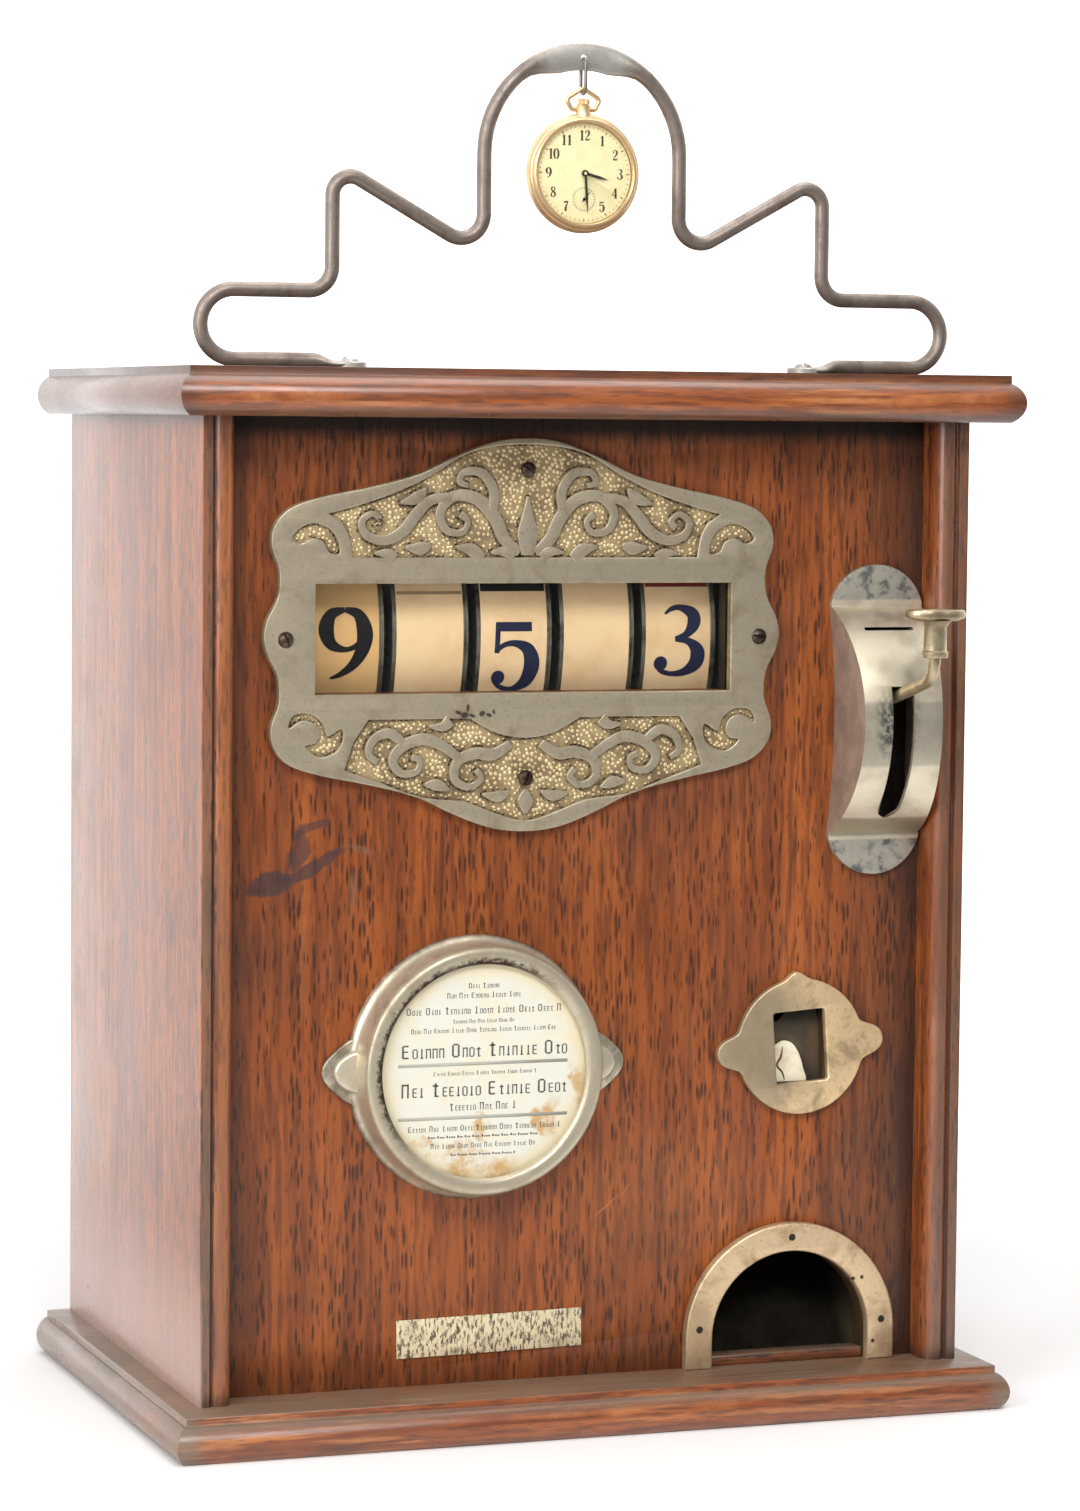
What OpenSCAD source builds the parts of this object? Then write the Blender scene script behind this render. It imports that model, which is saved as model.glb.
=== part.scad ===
// Counter-top trade stimulator: an oak cabinet with five number reels behind a cast plate,
// a push-down coin lever, a card bezel, a payout arch, and a rod hanger that shows a watch.
// Front faces -Y, up is +Z. The origin lies on the underside of the base, mid width, mid depth of the sides.

/* [Cabinet] */
// Width over the two side boards
cab_w = 305; // [295:1:340]
// Depth of the side boards
cab_d = 198; // [196:1:230]
// Height of the side boards
cab_h = 364; // [360:1:400]
// Thickness of a side board
side_t = 13; // [11:0.5:16]
// Radius of the round on a side board's inner front edge
edge_r = 6.3; // [2:0.1:9]
// Thickness of the base board
base_t = 17; // [14:0.5:24]
// Thickness of the lid board
lid_t = 18; // [14:0.5:24]
// Overhang of base and lid past the sides
side_lap = 14; // [8:0.5:22]
// Overhang of base and lid past the front
front_lap = 21; // [12:0.5:30]
// Height of the square fillet above the bull-nose
nose_step = 3; // [1:0.5:5]
// Setback of the square fillet
nose_inset = 4.5; // [2:0.5:7]
// Radius of the bull-nose
nose_r = 8.5; // [8:0.1:14]
// Depth of the front panel behind the side boards' front edges
panel_recess = 14; // [10:0.5:17]
// Thickness of the front panel
panel_t = 9; // [7:0.5:12]

/* [Back door] */
// Thickness of the back door
door_t = 12; // [9:0.5:16]
// Gap round the back door
door_gap = 0.8; // [0.5:0.1:2]
// Length of a hinge
hinge_len = 42; // [30:1:60]
// Radius of a hinge knuckle
knuckle_r = 3.2; // [2.6:0.1:5]
// Radius of a hinge pin
hinge_pin_r = 1.5; // [1:0.1:2]
// Thickness of a hinge leaf
leaf_t = 1.5; // [1:0.1:2]
// Middle of a hinge from the base, and from the lid
hinge_end = 50; // [30:1:80]
// Distance of the lock from the right side board
lock_edge = 21; // [17:0.5:30]
// Radius of the lock barrel
lock_r = 8; // [6:0.5:10]

/* [Number plate] */
// Plate centre, left of the middle
plate_left = 24; // [20:1:30]
// Plate centre below the lid
plate_drop = 81; // [77:1:83]
// Plate past each end of the window
plate_end = 19.9; // [16:0.1:23]
// Plate past the window's top and foot
plate_rise = 53.25; // [48:0.25:55]
// Plate thickness
plate_t = 4; // [2.5:0.1:6]
// Window width
window_w = 165; // [150:1:170]
// Window height
window_h = 41; // [34:1:46]
// Thickness of the window glass
glass_t = 2; // [1.5:0.1:3]
// Lap of the window glass behind the plate
glass_lap = 5; // [3:0.5:8]
// Side screws past each end of the window
screw_side = 11.5; // [9:0.5:13]
// Top screw below the plate's top
screw_top = 11.75; // [9:0.25:14]
// Foot screw above the plate's foot
screw_foot = 20.25; // [14:0.25:24]

/* [Reels] */
// Distance between reels
reel_pitch = 33.3; // [32.5:0.1:34]
// Width of a number strip
strip_w = 28; // [24:0.5:29]
// Radius of a number strip
reel_r = 62; // [54:0.5:63]
// Thickness of a reel's rim and side discs
reel_wall = 1; // [0.8:0.1:1.5]
// How far the side discs stand proud of the strip
flange_lip = 0.6; // [0.3:0.1:1.2]
// Radius of the reel shaft
shaft_r = 4; // [3:0.5:5]
// Radius of a reel's hub
hub_r = 9; // [7:0.5:12]
// Thickness of a reel frame plate
frame_t = 3; // [2:0.5:4]

/* [Lever] */
// Lever guide centre from the right side board
guide_edge = 20; // [19.8:0.1:24]
// Lever guide centre below the lid
guide_drop = 114.6; // [109:0.2:119]
// Width of the guide's feet
guide_w = 38; // [34:0.5:39.5]
// Width of the guide's waist
guide_waist = 32; // [28:0.5:33]
// Height of the bowed part
guide_h = 89.5; // [84:0.5:94]
// How far the bow stands out from the panel, as a share of its height
guide_share = 0.3352; // [0.31:0.0001:0.338]
// Height of one rounded foot
foot_h = 15; // [12:0.5:18]
// Thickness of the guide's walls
guide_wall = 2; // [1.5:0.1:2.5]
// Width of the lever slot
slot_w = 7.4; // [6.5:0.1:9]
// Width of the coin slot
coin_slot_w = 20.2; // [19.5:0.1:22]
// Height of the coin slot
coin_slot_h = 2.4; // [2:0.1:3.5]
// Coin slot above the guide centre
coin_slot_up = 35.6; // [34:0.2:37]
// Radius of the lever's rod
lever_rod_r = 2.3; // [1.8:0.1:2.8]
// Reach of the lever from its axis
lever_reach = 75; // [70:1:84]
// Upward slope of the lever at rest, degrees
lever_slope = 14; // [12:1:16]
// Travel of the lever, degrees
lever_travel = 60; // [50:1:60]
// Radius of the lever's ferrule
ferrule_r = 5; // [4:0.5:6]
// Length of the lever's ferrule
ferrule_h = 14; // [10:0.5:18]
// Length of the thumb piece
thumb_w = 24; // [18:0.5:28]
// Depth of the thumb piece
thumb_d = 15; // [12:0.5:18]
// Thickness of the thumb piece
thumb_t = 4; // [3:0.5:6]
// Radius of the lever and kicker shafts
rock_r = 3.5; // [3:0.1:4]

/* [Linkage] */
// Length of the two cranks
crank_len = 25; // [20:1:27]
// Thickness of cranks and link
crank_t = 4; // [3:0.5:4.5]
// Thickness of the drive link
link_t = 3; // [2:0.5:4]
// Radius of the crank pins
crank_pin_r = 2.5; // [2:0.1:3]
// Kicker shaft behind the reel axis
kicker_back = 22.5; // [18:0.5:26]
// Kicker shaft below the reel axis
kicker_drop = 94; // [90:0.5:98]
// Length of the vend arm
vend_arm_len = 30; // [26:0.5:32]
// Width of a kicker finger
finger_w = 8; // [5:0.5:12]
// Wire radius of the return spring
spring_wire_r = 0.7; // [0.5:0.05:0.9]
// Turns of the return spring
spring_turns = 6; // [4:1:7]
// Distance between the return spring's turns
spring_pitch = 2.2; // [1.9:0.05:2.4]

/* [Card bezel] */
// Bezel centre, left of the middle
bezel_left = 42.5; // [38:0.5:46]
// Bezel centre above the base underside
bezel_z = 137.5; // [130:0.5:145]
// Radius of the bezel's foot
bezel_foot_r = 50; // [49:0.5:53]
// Radius of the bezel's rim
bezel_r = 47; // [45:0.5:48]
// Radius of the view
bezel_view_r = 40.3; // [36:0.1:42]
// How far the bezel stands out from the panel
bezel_out = 16; // [12:0.5:20]
// Thickness of the bezel's metal
bezel_wall = 2; // [1.5:0.1:2.5]
// Distance between the tips of the ears
ear_span = 120; // [114:0.5:124]
// Radius of an ear's round tip
ear_r = 7.5; // [6:0.5:9]
// Thickness of the card
card_t = 1; // [0.6:0.1:1.5]

/* [Coin view] */
// Coin view centre from the right side board
view_edge = 49.5; // [46:0.5:52]
// Coin view centre above the base underside
view_z = 140.5; // [138:0.5:146]
// Radius of the coin view plate
view_r = 26.3; // [24:0.1:28]
// Thickness of the coin view plate
view_t = 3.5; // [2:0.1:5]
// Distance between the tips of the coin view's ears
view_ear_span = 68; // [62:0.5:72]
// Window width of the coin view
view_w = 21.5; // [18:0.5:24]
// Window height of the coin view
view_h = 28; // [24:0.5:32]
// Turn of the coin view plate on the panel, degrees
view_turn = 4; // [0:1:8]

/* [Payout] */
// Payout centre from the right side board
payout_edge = 52.8; // [50:0.2:56]
// Inner radius of the payout arch
arch_in_r = 32.5; // [30:0.5:34]
// Width of the arch trim
arch_w = 11; // [8:0.5:12]
// Height of the arch's straight legs
arch_leg = 11.6; // [9:0.2:16]
// Thickness of the arch trim
arch_t = 5; // [3:0.5:7]
// Height of the wooden sill
sill_h = 4; // [3:0.5:6]

/* [Small plate] */
// Small plate centre, left of the middle
tag_left = 35.2; // [30:0.2:40]
// Small plate centre above the base underside
tag_z = 35.5; // [32:0.5:40]
// Small plate width
tag_w = 74; // [60:1:80]
// Small plate height
tag_h = 14.6; // [10:0.2:18]
// Small plate thickness
tag_t = 0.8; // [0.6:0.1:1.2]
// Turn of the small plate, degrees
tag_turn = 0.8; // [0:0.1:2]

/* [Inside] */
// Top of the mechanism shelf above the base underside
shelf_z = 128; // [124:1:130]
// Thickness of the mechanism shelf
shelf_t = 10; // [8:0.5:12]
// Height of the cash box
cash_h = 60; // [40:1:64]
// Thickness of the cash box walls
cash_wall = 5; // [4:0.5:8]
// Width of the pack magazine
magazine_w = 45; // [42:0.5:46]
// Depth of the pack magazine
magazine_d = 24; // [20:0.5:25]
// Height of the pack magazine
magazine_h = 100; // [70:1:110]
// Thickness of sheet metal inside
sheet_t = 1.5; // [1:0.1:2]

/* [Hanger] */
// Radius of the hanger rod
hanger_r = 2.75; // [2.2:0.05:3]
// Hanger behind the side boards' front edges
hanger_back = 20; // [10:0.5:40]
// Half width over the outer curls, to the rod's middle
hanger_half = 148.3; // [146:0.1:150]
// Half distance between the foot tips
hanger_foot_half = 91; // [84:0.5:96]
// Radius of the outer curls
curl_r = 12.8; // [11:0.1:14]
// Half distance between the outer stems
stem_half = 98; // [94:0.5:102]
// Half distance between the inner stems, and radius of the arch
arch_half = 39; // [36:0.5:42]
// Corner of the outer peak above the rod's foot
peak_up = 72.6; // [68:0.2:76]
// Corner of the inner valley above the rod's foot
valley_up = 39.8; // [36:0.2:42]
// Top of the arch above the rod's foot
arch_up = 116.8; // [114:0.2:124]
// Radius of the flat eye at the top
eye_r = 5; // [4.5:0.1:6]
// Radius of the hole in the eye
eye_hole_r = 2.2; // [2:0.05:2.4]

/* [Watch] */
// Radius of the watch case
watch_r = 22.3; // [21:0.1:24]
// Thickness of the case's back half
case_back = 5.2; // [4:0.1:6]
// Thickness of the case's front half
case_front = 4.4; // [4.2:0.1:6]
// Radius of the dial
dial_r = 18.6; // [17:0.1:19.2]
// Thickness of the dial
dial_t = 0.6; // [0.4:0.1:0.8]
// Radius of the pendant
pendant_r = 2.8; // [2.4:0.1:3.2]
// Wire radius of the bow
bow_wire_r = 0.9; // [0.7:0.05:1.1]
// Wire radius of the link
link_wire_r = 0.65; // [0.5:0.05:0.7]
// Length of the minute hand
minute_len = 15; // [12:0.5:16]
// Length of the hour hand
hour_len = 10; // [8:0.5:11]

/* [Fasteners] */
// Shank radius of the wood screws
screw_r = 1.6; // [1.2:0.1:2]
// Head radius of the wood screws
screw_head_r = 3.4; // [3:0.1:4.5]
// Shank radius of the nails
nail_r = 0.9; // [0.6:0.1:1.2]
// Radial clearance of a turning fit
run_fit = 0.05; // [0.02:0.01:0.1]
// Clearance of a loose fit
loose_fit = 0.3; // [0.2:0.05:0.5]

/* [Hidden] */
$fn = 64;

// Main planes
y_front = -cab_d / 2;
y_back = cab_d / 2;
y_panel = y_front + panel_recess;
y_inside = y_panel + panel_t;
y_door = y_back - door_t;
z_floor = base_t;
z_ceiling = base_t + cab_h;
z_top = z_ceiling + lid_t;
x_in = cab_w / 2 - side_t;
x_out = cab_w / 2;

// Number plate round its window
plate_z = z_ceiling - plate_drop;
plate_w = window_w + 2 * plate_end;
plate_h = window_h + 2 * plate_rise;
plate_screw_x = window_w / 2 + screw_side;
plate_screw_up = plate_h / 2 - screw_top;
plate_screw_down = plate_h / 2 - screw_foot;

// Reel axis, behind the panel's back by a small gap
reel_count = 5;
reel_gap = 1;
flange_r = reel_r + flange_lip;
reel_w = strip_w + 2 * reel_wall;
reel_x0 = -plate_left - (reel_count - 1) * reel_pitch / 2;
reel_y = y_inside + reel_gap + flange_r;
window_drop = 1;
reel_z = plate_z - window_drop;
spacer_gap = loose_fit;
frame_in_left = reel_x0 - reel_w / 2 - (reel_pitch - reel_w);
frame_in_right = reel_x0 + (reel_count - 1) * reel_pitch + reel_w / 2 + (reel_pitch - reel_w);
spoke_hole_r = 16;
spoke_hole_ring = 34;
spacer_r = 7;
shaft_proud = 2;

// Lever axis at the centre of the guide's bow
guide_x = x_in - guide_edge;
guide_z = z_ceiling - guide_drop;
guide_bow = guide_h * guide_share;
bow_r = (pow(guide_h / 2, 2) + pow(guide_bow, 2)) / (2 * guide_bow);
lever_y = y_panel - guide_bow + bow_r;
lever_z = guide_z;
foot_r = (pow(guide_w / 2, 2) + pow(foot_h, 2)) / (2 * foot_h);
foot_t = 2.5;
waist_cut_r = (pow(guide_h / 2, 2) + pow((guide_w - guide_waist) / 2, 2)) / (guide_w - guide_waist);
slot_room = 4;
slot_top = lever_z + bow_r * sin(lever_slope + slot_room);
slot_foot = lever_z + bow_r * sin(lever_slope - lever_travel - slot_room);
arm_hub_r = 7;
arm_hub_w = 14;
arm_bend_r = 10;
arm_corner = [lever_y - lever_reach, lever_z + lever_reach * tan(lever_slope)];
arm_root_in = 2;
arm_root = [lever_y, lever_z] + (rock_r + arm_root_in) * [-cos(lever_slope), sin(lever_slope)];
ferrule_rise = 8;
ferrule_z = arm_corner[1] + ferrule_rise;
ferrule_socket = 6;
bracket_t = 3;
bracket_room = 26;
bracket_left = frame_in_right + frame_t + bracket_room;
bracket_edge = 9;
bracket_right = x_in - bracket_edge;
bracket_foot = 9;
bracket_half = 8;
bracket_foot_t = 2;

// Kicker axis and the parallel cranks
kicker_y = reel_y + kicker_back;
kicker_z = reel_z - kicker_drop;
finger_gap = 0.5;
finger_len = norm([kicker_back, kicker_drop]) - flange_r - finger_gap;
finger_angle = atan2(kicker_drop, -kicker_back);
crank_line = atan2(kicker_z - lever_z, kicker_y - lever_y);
crank_rest = crank_line + 90 - lever_travel / 2;
crank_room = 5;
crank_x = frame_in_right + frame_t + crank_room;
crank_eye_r = 6;
link_x = crank_x + crank_t + loose_fit;
link_end = link_x + link_t;
pin_proud = 1;
crank_pin_end = link_end + pin_proud;
vend_room = 6;
vend_x = crank_pin_end + vend_room;
vend_pin_len = 5;
vend_pin_end = vend_x + crank_t + vend_pin_len;
kicker_end = vend_x + crank_t;
vend_rest = 90 - lever_travel / 2;
vend_pin_r = 2;
vend_slot_room = 0.6;
pusher_room = 1;
pusher_x = kicker_end + pusher_room;
pusher_t = 3;

// Pack magazine, pusher and payout
magazine_back = 2;
magazine_x = x_in - magazine_w;
pack_door = 14;
pusher_h = 6;
pusher_bar = 6;
vend_travel = 2 * vend_arm_len * sin(lever_travel / 2);
payout_x = x_in - payout_edge;
arch_out_r = arch_in_r + arch_w;
arch_z = z_floor + arch_leg;
chute_room = 2;
payout_x0 = payout_x - arch_in_r - chute_room;
payout_x1 = payout_x + arch_in_r + chute_room;
shelf_room = 2;
shelf_cut_x = payout_x0 - shelf_room;
shelf_cut_y = magazine_back - magazine_d - shelf_room;
chute_drop = 14;
chute_top = shelf_z - shelf_t - chute_drop;
chute_side = 18;

// Coin path
view_x = x_in - view_edge;
coin_w = 21;
coin_gap = 4;
coin_wall = 1;
coin_room = 1.2;
coin_y = lever_y + arm_hub_r + coin_room;
coin_z = lever_z + coin_slot_up;
coin_exit_left = 22;
coin_exit_up = 14;
coin_exit = [payout_x0 - coin_exit_left, z_floor + cash_h + coin_exit_up];
view_enter = 12;
view_leave = 14;
coin_path = [[guide_x, coin_z + coin_gap / 2], [view_x, view_z + view_enter],
    [view_x, view_z - view_leave], coin_exit];

// Card bezel
bezel_lip = 3;
bezel_x = -bezel_left;

// Back door
hinge_x = -x_in + door_gap / 2;
hinge_room = 0.4;
hinge_y = y_back + knuckle_r + hinge_room;
hinge_heights = [hinge_end, cab_h - hinge_end];
leaf_w = 10;
knuckle_gap = 0.3;
knuckle_len = (hinge_len - 2 * knuckle_gap) / 3;
lock_x = x_in - lock_edge;
lock_z = z_floor + cab_h / 2;
lock_flange = 3;
lock_plate_t = 2;
cam_room = 2;
cam_len = lock_edge - cam_room;
cam_t = 3;
cam_half = 4.5;
cam_pin_r = 3;
strike_t = 5;
strike_gap = 1;
cam_y = y_door - strike_t - 2 * strike_gap - cam_t;
lock_reach = 3;
key_w = 1;
key_h = 4;
key_deep = 4;

// Hanger, from the left foot to the right one: place across, height above the foot, bend radius
hanger_y = y_front + hanger_back;
hanger_z = z_top + hanger_r;
stem_bend = 9;
peak_bend = 7;
valley_bend = 9;
hanger_left = [[-hanger_foot_half, 0, 0], [-hanger_half, 0, curl_r], [-hanger_half, 2 * curl_r, curl_r],
    [-stem_half, 2 * curl_r, stem_bend], [-stem_half, peak_up, peak_bend],
    [-arch_half, valley_up, valley_bend], [-arch_half, arch_up, arch_half]];
hanger_last = len(hanger_left) - 1;
hanger_path = concat(hanger_left,
    [for (i = [hanger_last:-1:0]) [-hanger_left[i][0], hanger_left[i][1], hanger_left[i][2]]]);
bend_step = 15;
least_run = 0.01;
hanger_line = [for (q = without_doubles(bend_line(hanger_path))) [q[0], 0, q[1]]];
hanger_sides = 12;
lever_sides = 16;
foot_pad_r = 6;
foot_pad_t = 2.4;
eye_t = 2.6;
eye_drop = 2;
eye_z = hanger_z + arch_up - eye_drop;

// Watch chain: link through the eye, bow through the link, case on the bow
link_bend = 2.6;
link_sit = 0.8;
link_top = eye_z - link_sit;
link_drop = 11;
bow_corner = link_top - link_drop;
bow_shoulder = [6.8, -4.2];
bow_h = 8;
bow_end = 4.6;
bow_bend = 1.6;
bow_peak_bend = 1.9;
bow_peg = 1;
bow_slope = atan2(-bow_shoulder[1], bow_shoulder[0]);
bow_apex = bow_corner - bow_peak_bend * (1 / cos(bow_slope) - 1);
link_foot = bow_apex - bow_wire_r - loose_fit - link_wire_r;
bow_pivot = bow_corner - bow_h;
pendant_rise = 1.6;
watch_z = bow_pivot - watch_r - pendant_rise;
crown_r = 2.5;
crown_h = 2.6;
pendant_over = 1.4;
pendant_top = bow_pivot + pendant_over;
pendant_root = 2;
band_room = 0.2;
case_band = pendant_r + band_room;
dial_slack = 0.2;
dial_seat = 1.4;
dial_front = dial_seat + dial_t;
hand_gap = 0.3;
hand_t = 0.25;
post_r = 0.5;
seconds_drop = 9.6;
seconds_z = watch_z - seconds_drop;
seconds_len = 3.8;
seconds_tail = 1.2;
hour_eye = 1.3;
hour_w = 1.1;
minute_eye = 1.2;
minute_w = 0.9;
seconds_eye = 0.6;
seconds_w = 0.35;
arbor_r = post_r / 2;
seconds_h = dial_front + hand_gap;
hour_h = seconds_h + hand_t + hand_gap;
minute_h = hour_h + hand_t + hand_gap;

// Seconds wheel on the seconds hand's arbor, in a pocket of the case behind the dial
seconds_wheel_r = 3.6;
seconds_wheel_t = 0.5;
seconds_pocket = seconds_wheel_t + 2 * hand_gap;

// Watch glass and the hands at rest
crystal_t = 0.7;
crystal_foot = case_front - crystal_t;
crystal_rise = 1.2;
hour_turn = 104;
minute_turn = 176;
seconds_turn = 40;

// Shapes that repeat

// A plan or section drawn in Y and Z, drawn out along X
module along_x(x0, x1) {
    translate([x0, 0, 0]) rotate([90, 0, 90]) linear_extrude(x1 - x0) children();
}

// A front view drawn in X and Z, drawn out along Y
module along_y(y0, y1) {
    translate([0, y1, 0]) rotate([90, 0, 0]) linear_extrude(y1 - y0) children();
}

module rod_x(x0, x1, y, z, r) {
    translate([x0, y, z]) rotate([0, 90, 0]) cylinder(r = r, h = x1 - x0);
}

module rod_y(y0, y1, x, z, r) {
    translate([x, y1, z]) rotate([90, 0, 0]) cylinder(r = r, h = y1 - y0);
}

module box(low, high) {
    translate(low) cube(high - low);
}

// A turned piece whose axis points to the front
module turned_y(x, y, z) {
    translate([x, y, z]) rotate([90, 0, 0]) rotate_extrude() children();
}

function heading(a, b) = (b - a) / norm(b - a);
function place(p) = [p[0], p[1]];
function run_heading(p, i) = heading(place(p[i]), place(p[i + 1]));
function bend_turn(p, i) = let (d = run_heading(p, i - 1), e = run_heading(p, i)) atan2(cross(d, e), d * e);
function bend_inset(p, i) = is_end(p, i) ? 0 : p[i][2] * tan(abs(bend_turn(p, i)) / 2);

// A round rod bent in its own XY plane, through corners given as place and bend radius
module bent_rod(p, r) {
    for (i = [0 : len(p) - 2]) {
        a = place(p[i]);
        b = place(p[i + 1]);
        d = heading(a, b);
        start = a + d * bend_inset(p, i);
        run = norm(b - a) - bend_inset(p, i) - bend_inset(p, i + 1);
        if (run > least_run) translate(start) rotate([0, 90, atan2(d[1], d[0])]) cylinder(r = r, h = run);
    }
    for (i = [1 : len(p) - 2]) {
        d = run_heading(p, i - 1);
        turn = bend_turn(p, i);
        side = turn > 0 ? [-d[1], d[0]] : [d[1], -d[0]];
        centre = place(p[i]) - d * bend_inset(p, i) + side * p[i][2];
        from = atan2(-side[1], -side[0]);
        translate(centre) rotate([0, 0, min(from, from + turn)])
            rotate_extrude(angle = abs(turn)) translate([p[i][2], 0]) circle(r = r);
    }
}

// Points along a bent rod's middle line, one every few degrees round each bend
function bend_arc(p, i) = let (d = run_heading(p, i - 1), turn = bend_turn(p, i),
    side = turn > 0 ? [-d[1], d[0]] : [d[1], -d[0]], from = atan2(-side[1], -side[0]),
    centre = place(p[i]) - d * bend_inset(p, i) + side * p[i][2], steps = ceil(abs(turn) / bend_step))
    [for (k = [0 : steps]) centre + p[i][2] * [cos(from + turn * k / steps), sin(from + turn * k / steps)]];
function is_end(p, i) = i == 0 || i == len(p) - 1;
function bend_line(p) = [for (i = [0 : len(p) - 1]) each is_end(p, i) ? [place(p[i])] : bend_arc(p, i)];
function without_doubles(p) =
    [for (i = [0 : len(p) - 1]) if (i == 0 || norm(p[i] - p[max(i - 1, 0)]) > least_run) p[i]];

function ring_heading(p, i) = i == 0 ? heading(p[0], p[1]) : i == len(p) - 1 ? heading(p[i - 1], p[i])
    : heading([0, 0, 0], heading(p[i - 1], p[i]) + heading(p[i], p[i + 1]));

// One unbroken tube along points in space; flat is a direction that the line never follows
module tube(p, r, sides, flat) {
    rings = [for (i = [0 : len(p) - 1])
        let (t = ring_heading(p, i), u = heading([0, 0, 0], cross(t, flat)), v = cross(t, u))
        for (k = [0 : sides - 1]) p[i] + r * (u * cos(360 * k / sides) + v * sin(360 * k / sides))];
    last = (len(p) - 1) * sides;
    skin = [for (i = [0 : len(p) - 2]) for (k = [0 : sides - 1])
        let (a = i * sides + k, b = i * sides + (k + 1) % sides)
        each [[a, a + sides, b], [b, a + sides, b + sides]]];
    caps = [for (k = [1 : sides - 2]) each [[0, k, k + 1], [last, last + k + 1, last + k]]];
    polyhedron(rings, concat(skin, caps), convexity = 10);
}

// A flat bar with round ends between two places in Y and Z
module bar_plan(a, b, r) {
    translate(a) circle(r = r);
    translate(b) circle(r = r);
    translate(a) rotate(atan2(b[1] - a[1], b[0] - a[0])) translate([0, -r]) square([norm(b - a), 2 * r]);
}

// Round-headed fastener that points into the panel, its head's seat at y
module front_fastener(x, y, z, r, head_r, len) {
    rod_y(y - 0.6, y + len, x, z, r);
    turned_y(x, y, z) intersection() {
        translate([0, -head_r * 0.6]) circle(r = head_r * 1.166);
        square([head_r, head_r]);
    }
}

// Edge section of base and lid: bull-nose with a square fillet above it
module nosed_section(x0, x1, t, both) {
    nose_h = t - nose_step;
    nose_sag = nose_r - sqrt(nose_r * nose_r - nose_h * nose_h / 4);
    back = both ? nose_sag : 0;
    translate([x0 + nose_sag, 0]) square([x1 - x0 - nose_sag - back, nose_h]);
    intersection() {
        translate([x0 + nose_r, nose_h / 2]) circle(r = nose_r);
        translate([x0, 0]) square([nose_sag, nose_h]);
    }
    if (both) intersection() {
        translate([x1 - nose_r, nose_h / 2]) circle(r = nose_r);
        translate([x1 - nose_sag, 0]) square([nose_sag, nose_h]);
    }
    step_back = both ? nose_inset : 0;
    translate([x0 + nose_inset, nose_h]) square([x1 - x0 - nose_inset - step_back, nose_step]);
}

module nosed_board(z, t) {
    translate([0, 0, z]) intersection() {
        along_y(y_front - front_lap, y_back) nosed_section(-x_out - side_lap, x_out + side_lap, t, true);
        along_x(-x_out - side_lap, x_out + side_lap) nosed_section(y_front - front_lap, y_back, t, false);
    }
}

// Cabinet

module base_board() {
    color("saddlebrown") nosed_board(0, base_t);
}

module lid_board() {
    color("saddlebrown") difference() {
        nosed_board(z_ceiling, lid_t);
        for (s = [-1, 1]) translate([s * hanger_foot_half, hanger_y, z_top - hanger_screw_len])
            cylinder(r = screw_r + run_fit, h = hanger_screw_len + 1);
    }
}

module side_plan() {
    difference() {
        translate([x_in, y_front]) square([side_t, cab_d]);
        translate([x_in - 1, y_front - 1]) square(edge_r + 1);
    }
    intersection() {
        translate([x_in + edge_r, y_front + edge_r]) circle(r = edge_r);
        translate([x_in, y_front]) square(edge_r);
    }
}

module right_side_board() {
    color("peru") translate([0, 0, z_floor]) linear_extrude(cab_h) side_plan();
}

module left_side_board() {
    color("peru") mirror([1, 0, 0]) translate([0, 0, z_floor]) linear_extrude(cab_h) side_plan();
}

// Places of the fasteners in the front panel
plate_screws = [[0, plate_screw_up], [0, -plate_screw_down],
    [plate_screw_x, -window_drop], [-plate_screw_x, -window_drop]];
nail_places = [[-arch_out_r + arch_w / 2, 4], [arch_out_r - arch_w / 2, 4], [0, arch_in_r + arch_w / 2]];
screw_len = plate_t + panel_t - 3;
nail_len = arch_t + panel_t - 3;
hanger_screw_len = 12;

module payout_plan(r) {
    translate([payout_x, arch_z]) circle(r = r);
    translate([payout_x - r, z_floor]) square([2 * r, arch_leg]);
}

module payout_opening_plan(r) {
    intersection() {
        payout_plan(r);
        translate([payout_x - r, z_floor]) square([2 * r, arch_leg + r]);
    }
}

module front_panel() {
    arm_slot_top = lever_z + (lever_y - y_panel) * tan(lever_slope + slot_room) + lever_rod_r;
    arm_slot_foot = lever_z - (lever_y - y_panel) * tan(lever_travel - lever_slope + slot_room) - lever_rod_r;
    color("chocolate") difference() {
        box([-x_in, y_panel, z_floor], [x_in, y_inside, z_ceiling]);
        translate([-plate_left, 0, reel_z]) {
            box([-window_w / 2, y_panel - 1, -window_h / 2], [window_w / 2, y_inside + 1, window_h / 2]);
            box([-window_w / 2 - glass_lap, y_panel - 1, -window_h / 2 - glass_lap],
                [window_w / 2 + glass_lap, y_panel + glass_t, window_h / 2 + glass_lap]);
        }
        for (p = plate_screws)
            rod_y(y_panel - 1, y_panel - plate_t + screw_len, p[0] - plate_left, p[1] + plate_z,
                screw_r + run_fit);
        for (p = nail_places)
            rod_y(y_panel - 1, y_panel - arch_t + nail_len, p[0] + payout_x, p[1] + arch_z, nail_r + run_fit);
        box([guide_x - slot_w / 2, y_panel - 1, arm_slot_foot],
            [guide_x + slot_w / 2, y_inside + 1, arm_slot_top]);
        box([guide_x - coin_w / 2, y_panel - 1, coin_z - coin_gap],
            [guide_x + coin_w / 2, y_inside + 1, coin_z + coin_gap / 2]);
        box([view_x - view_w / 2, y_panel - 1, view_z - view_h / 2],
            [view_x + view_w / 2, y_inside + 1, view_z + view_h / 2]);
        along_y(y_panel - 1, y_inside + 1) payout_opening_plan(arch_in_r);
    }
}

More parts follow.
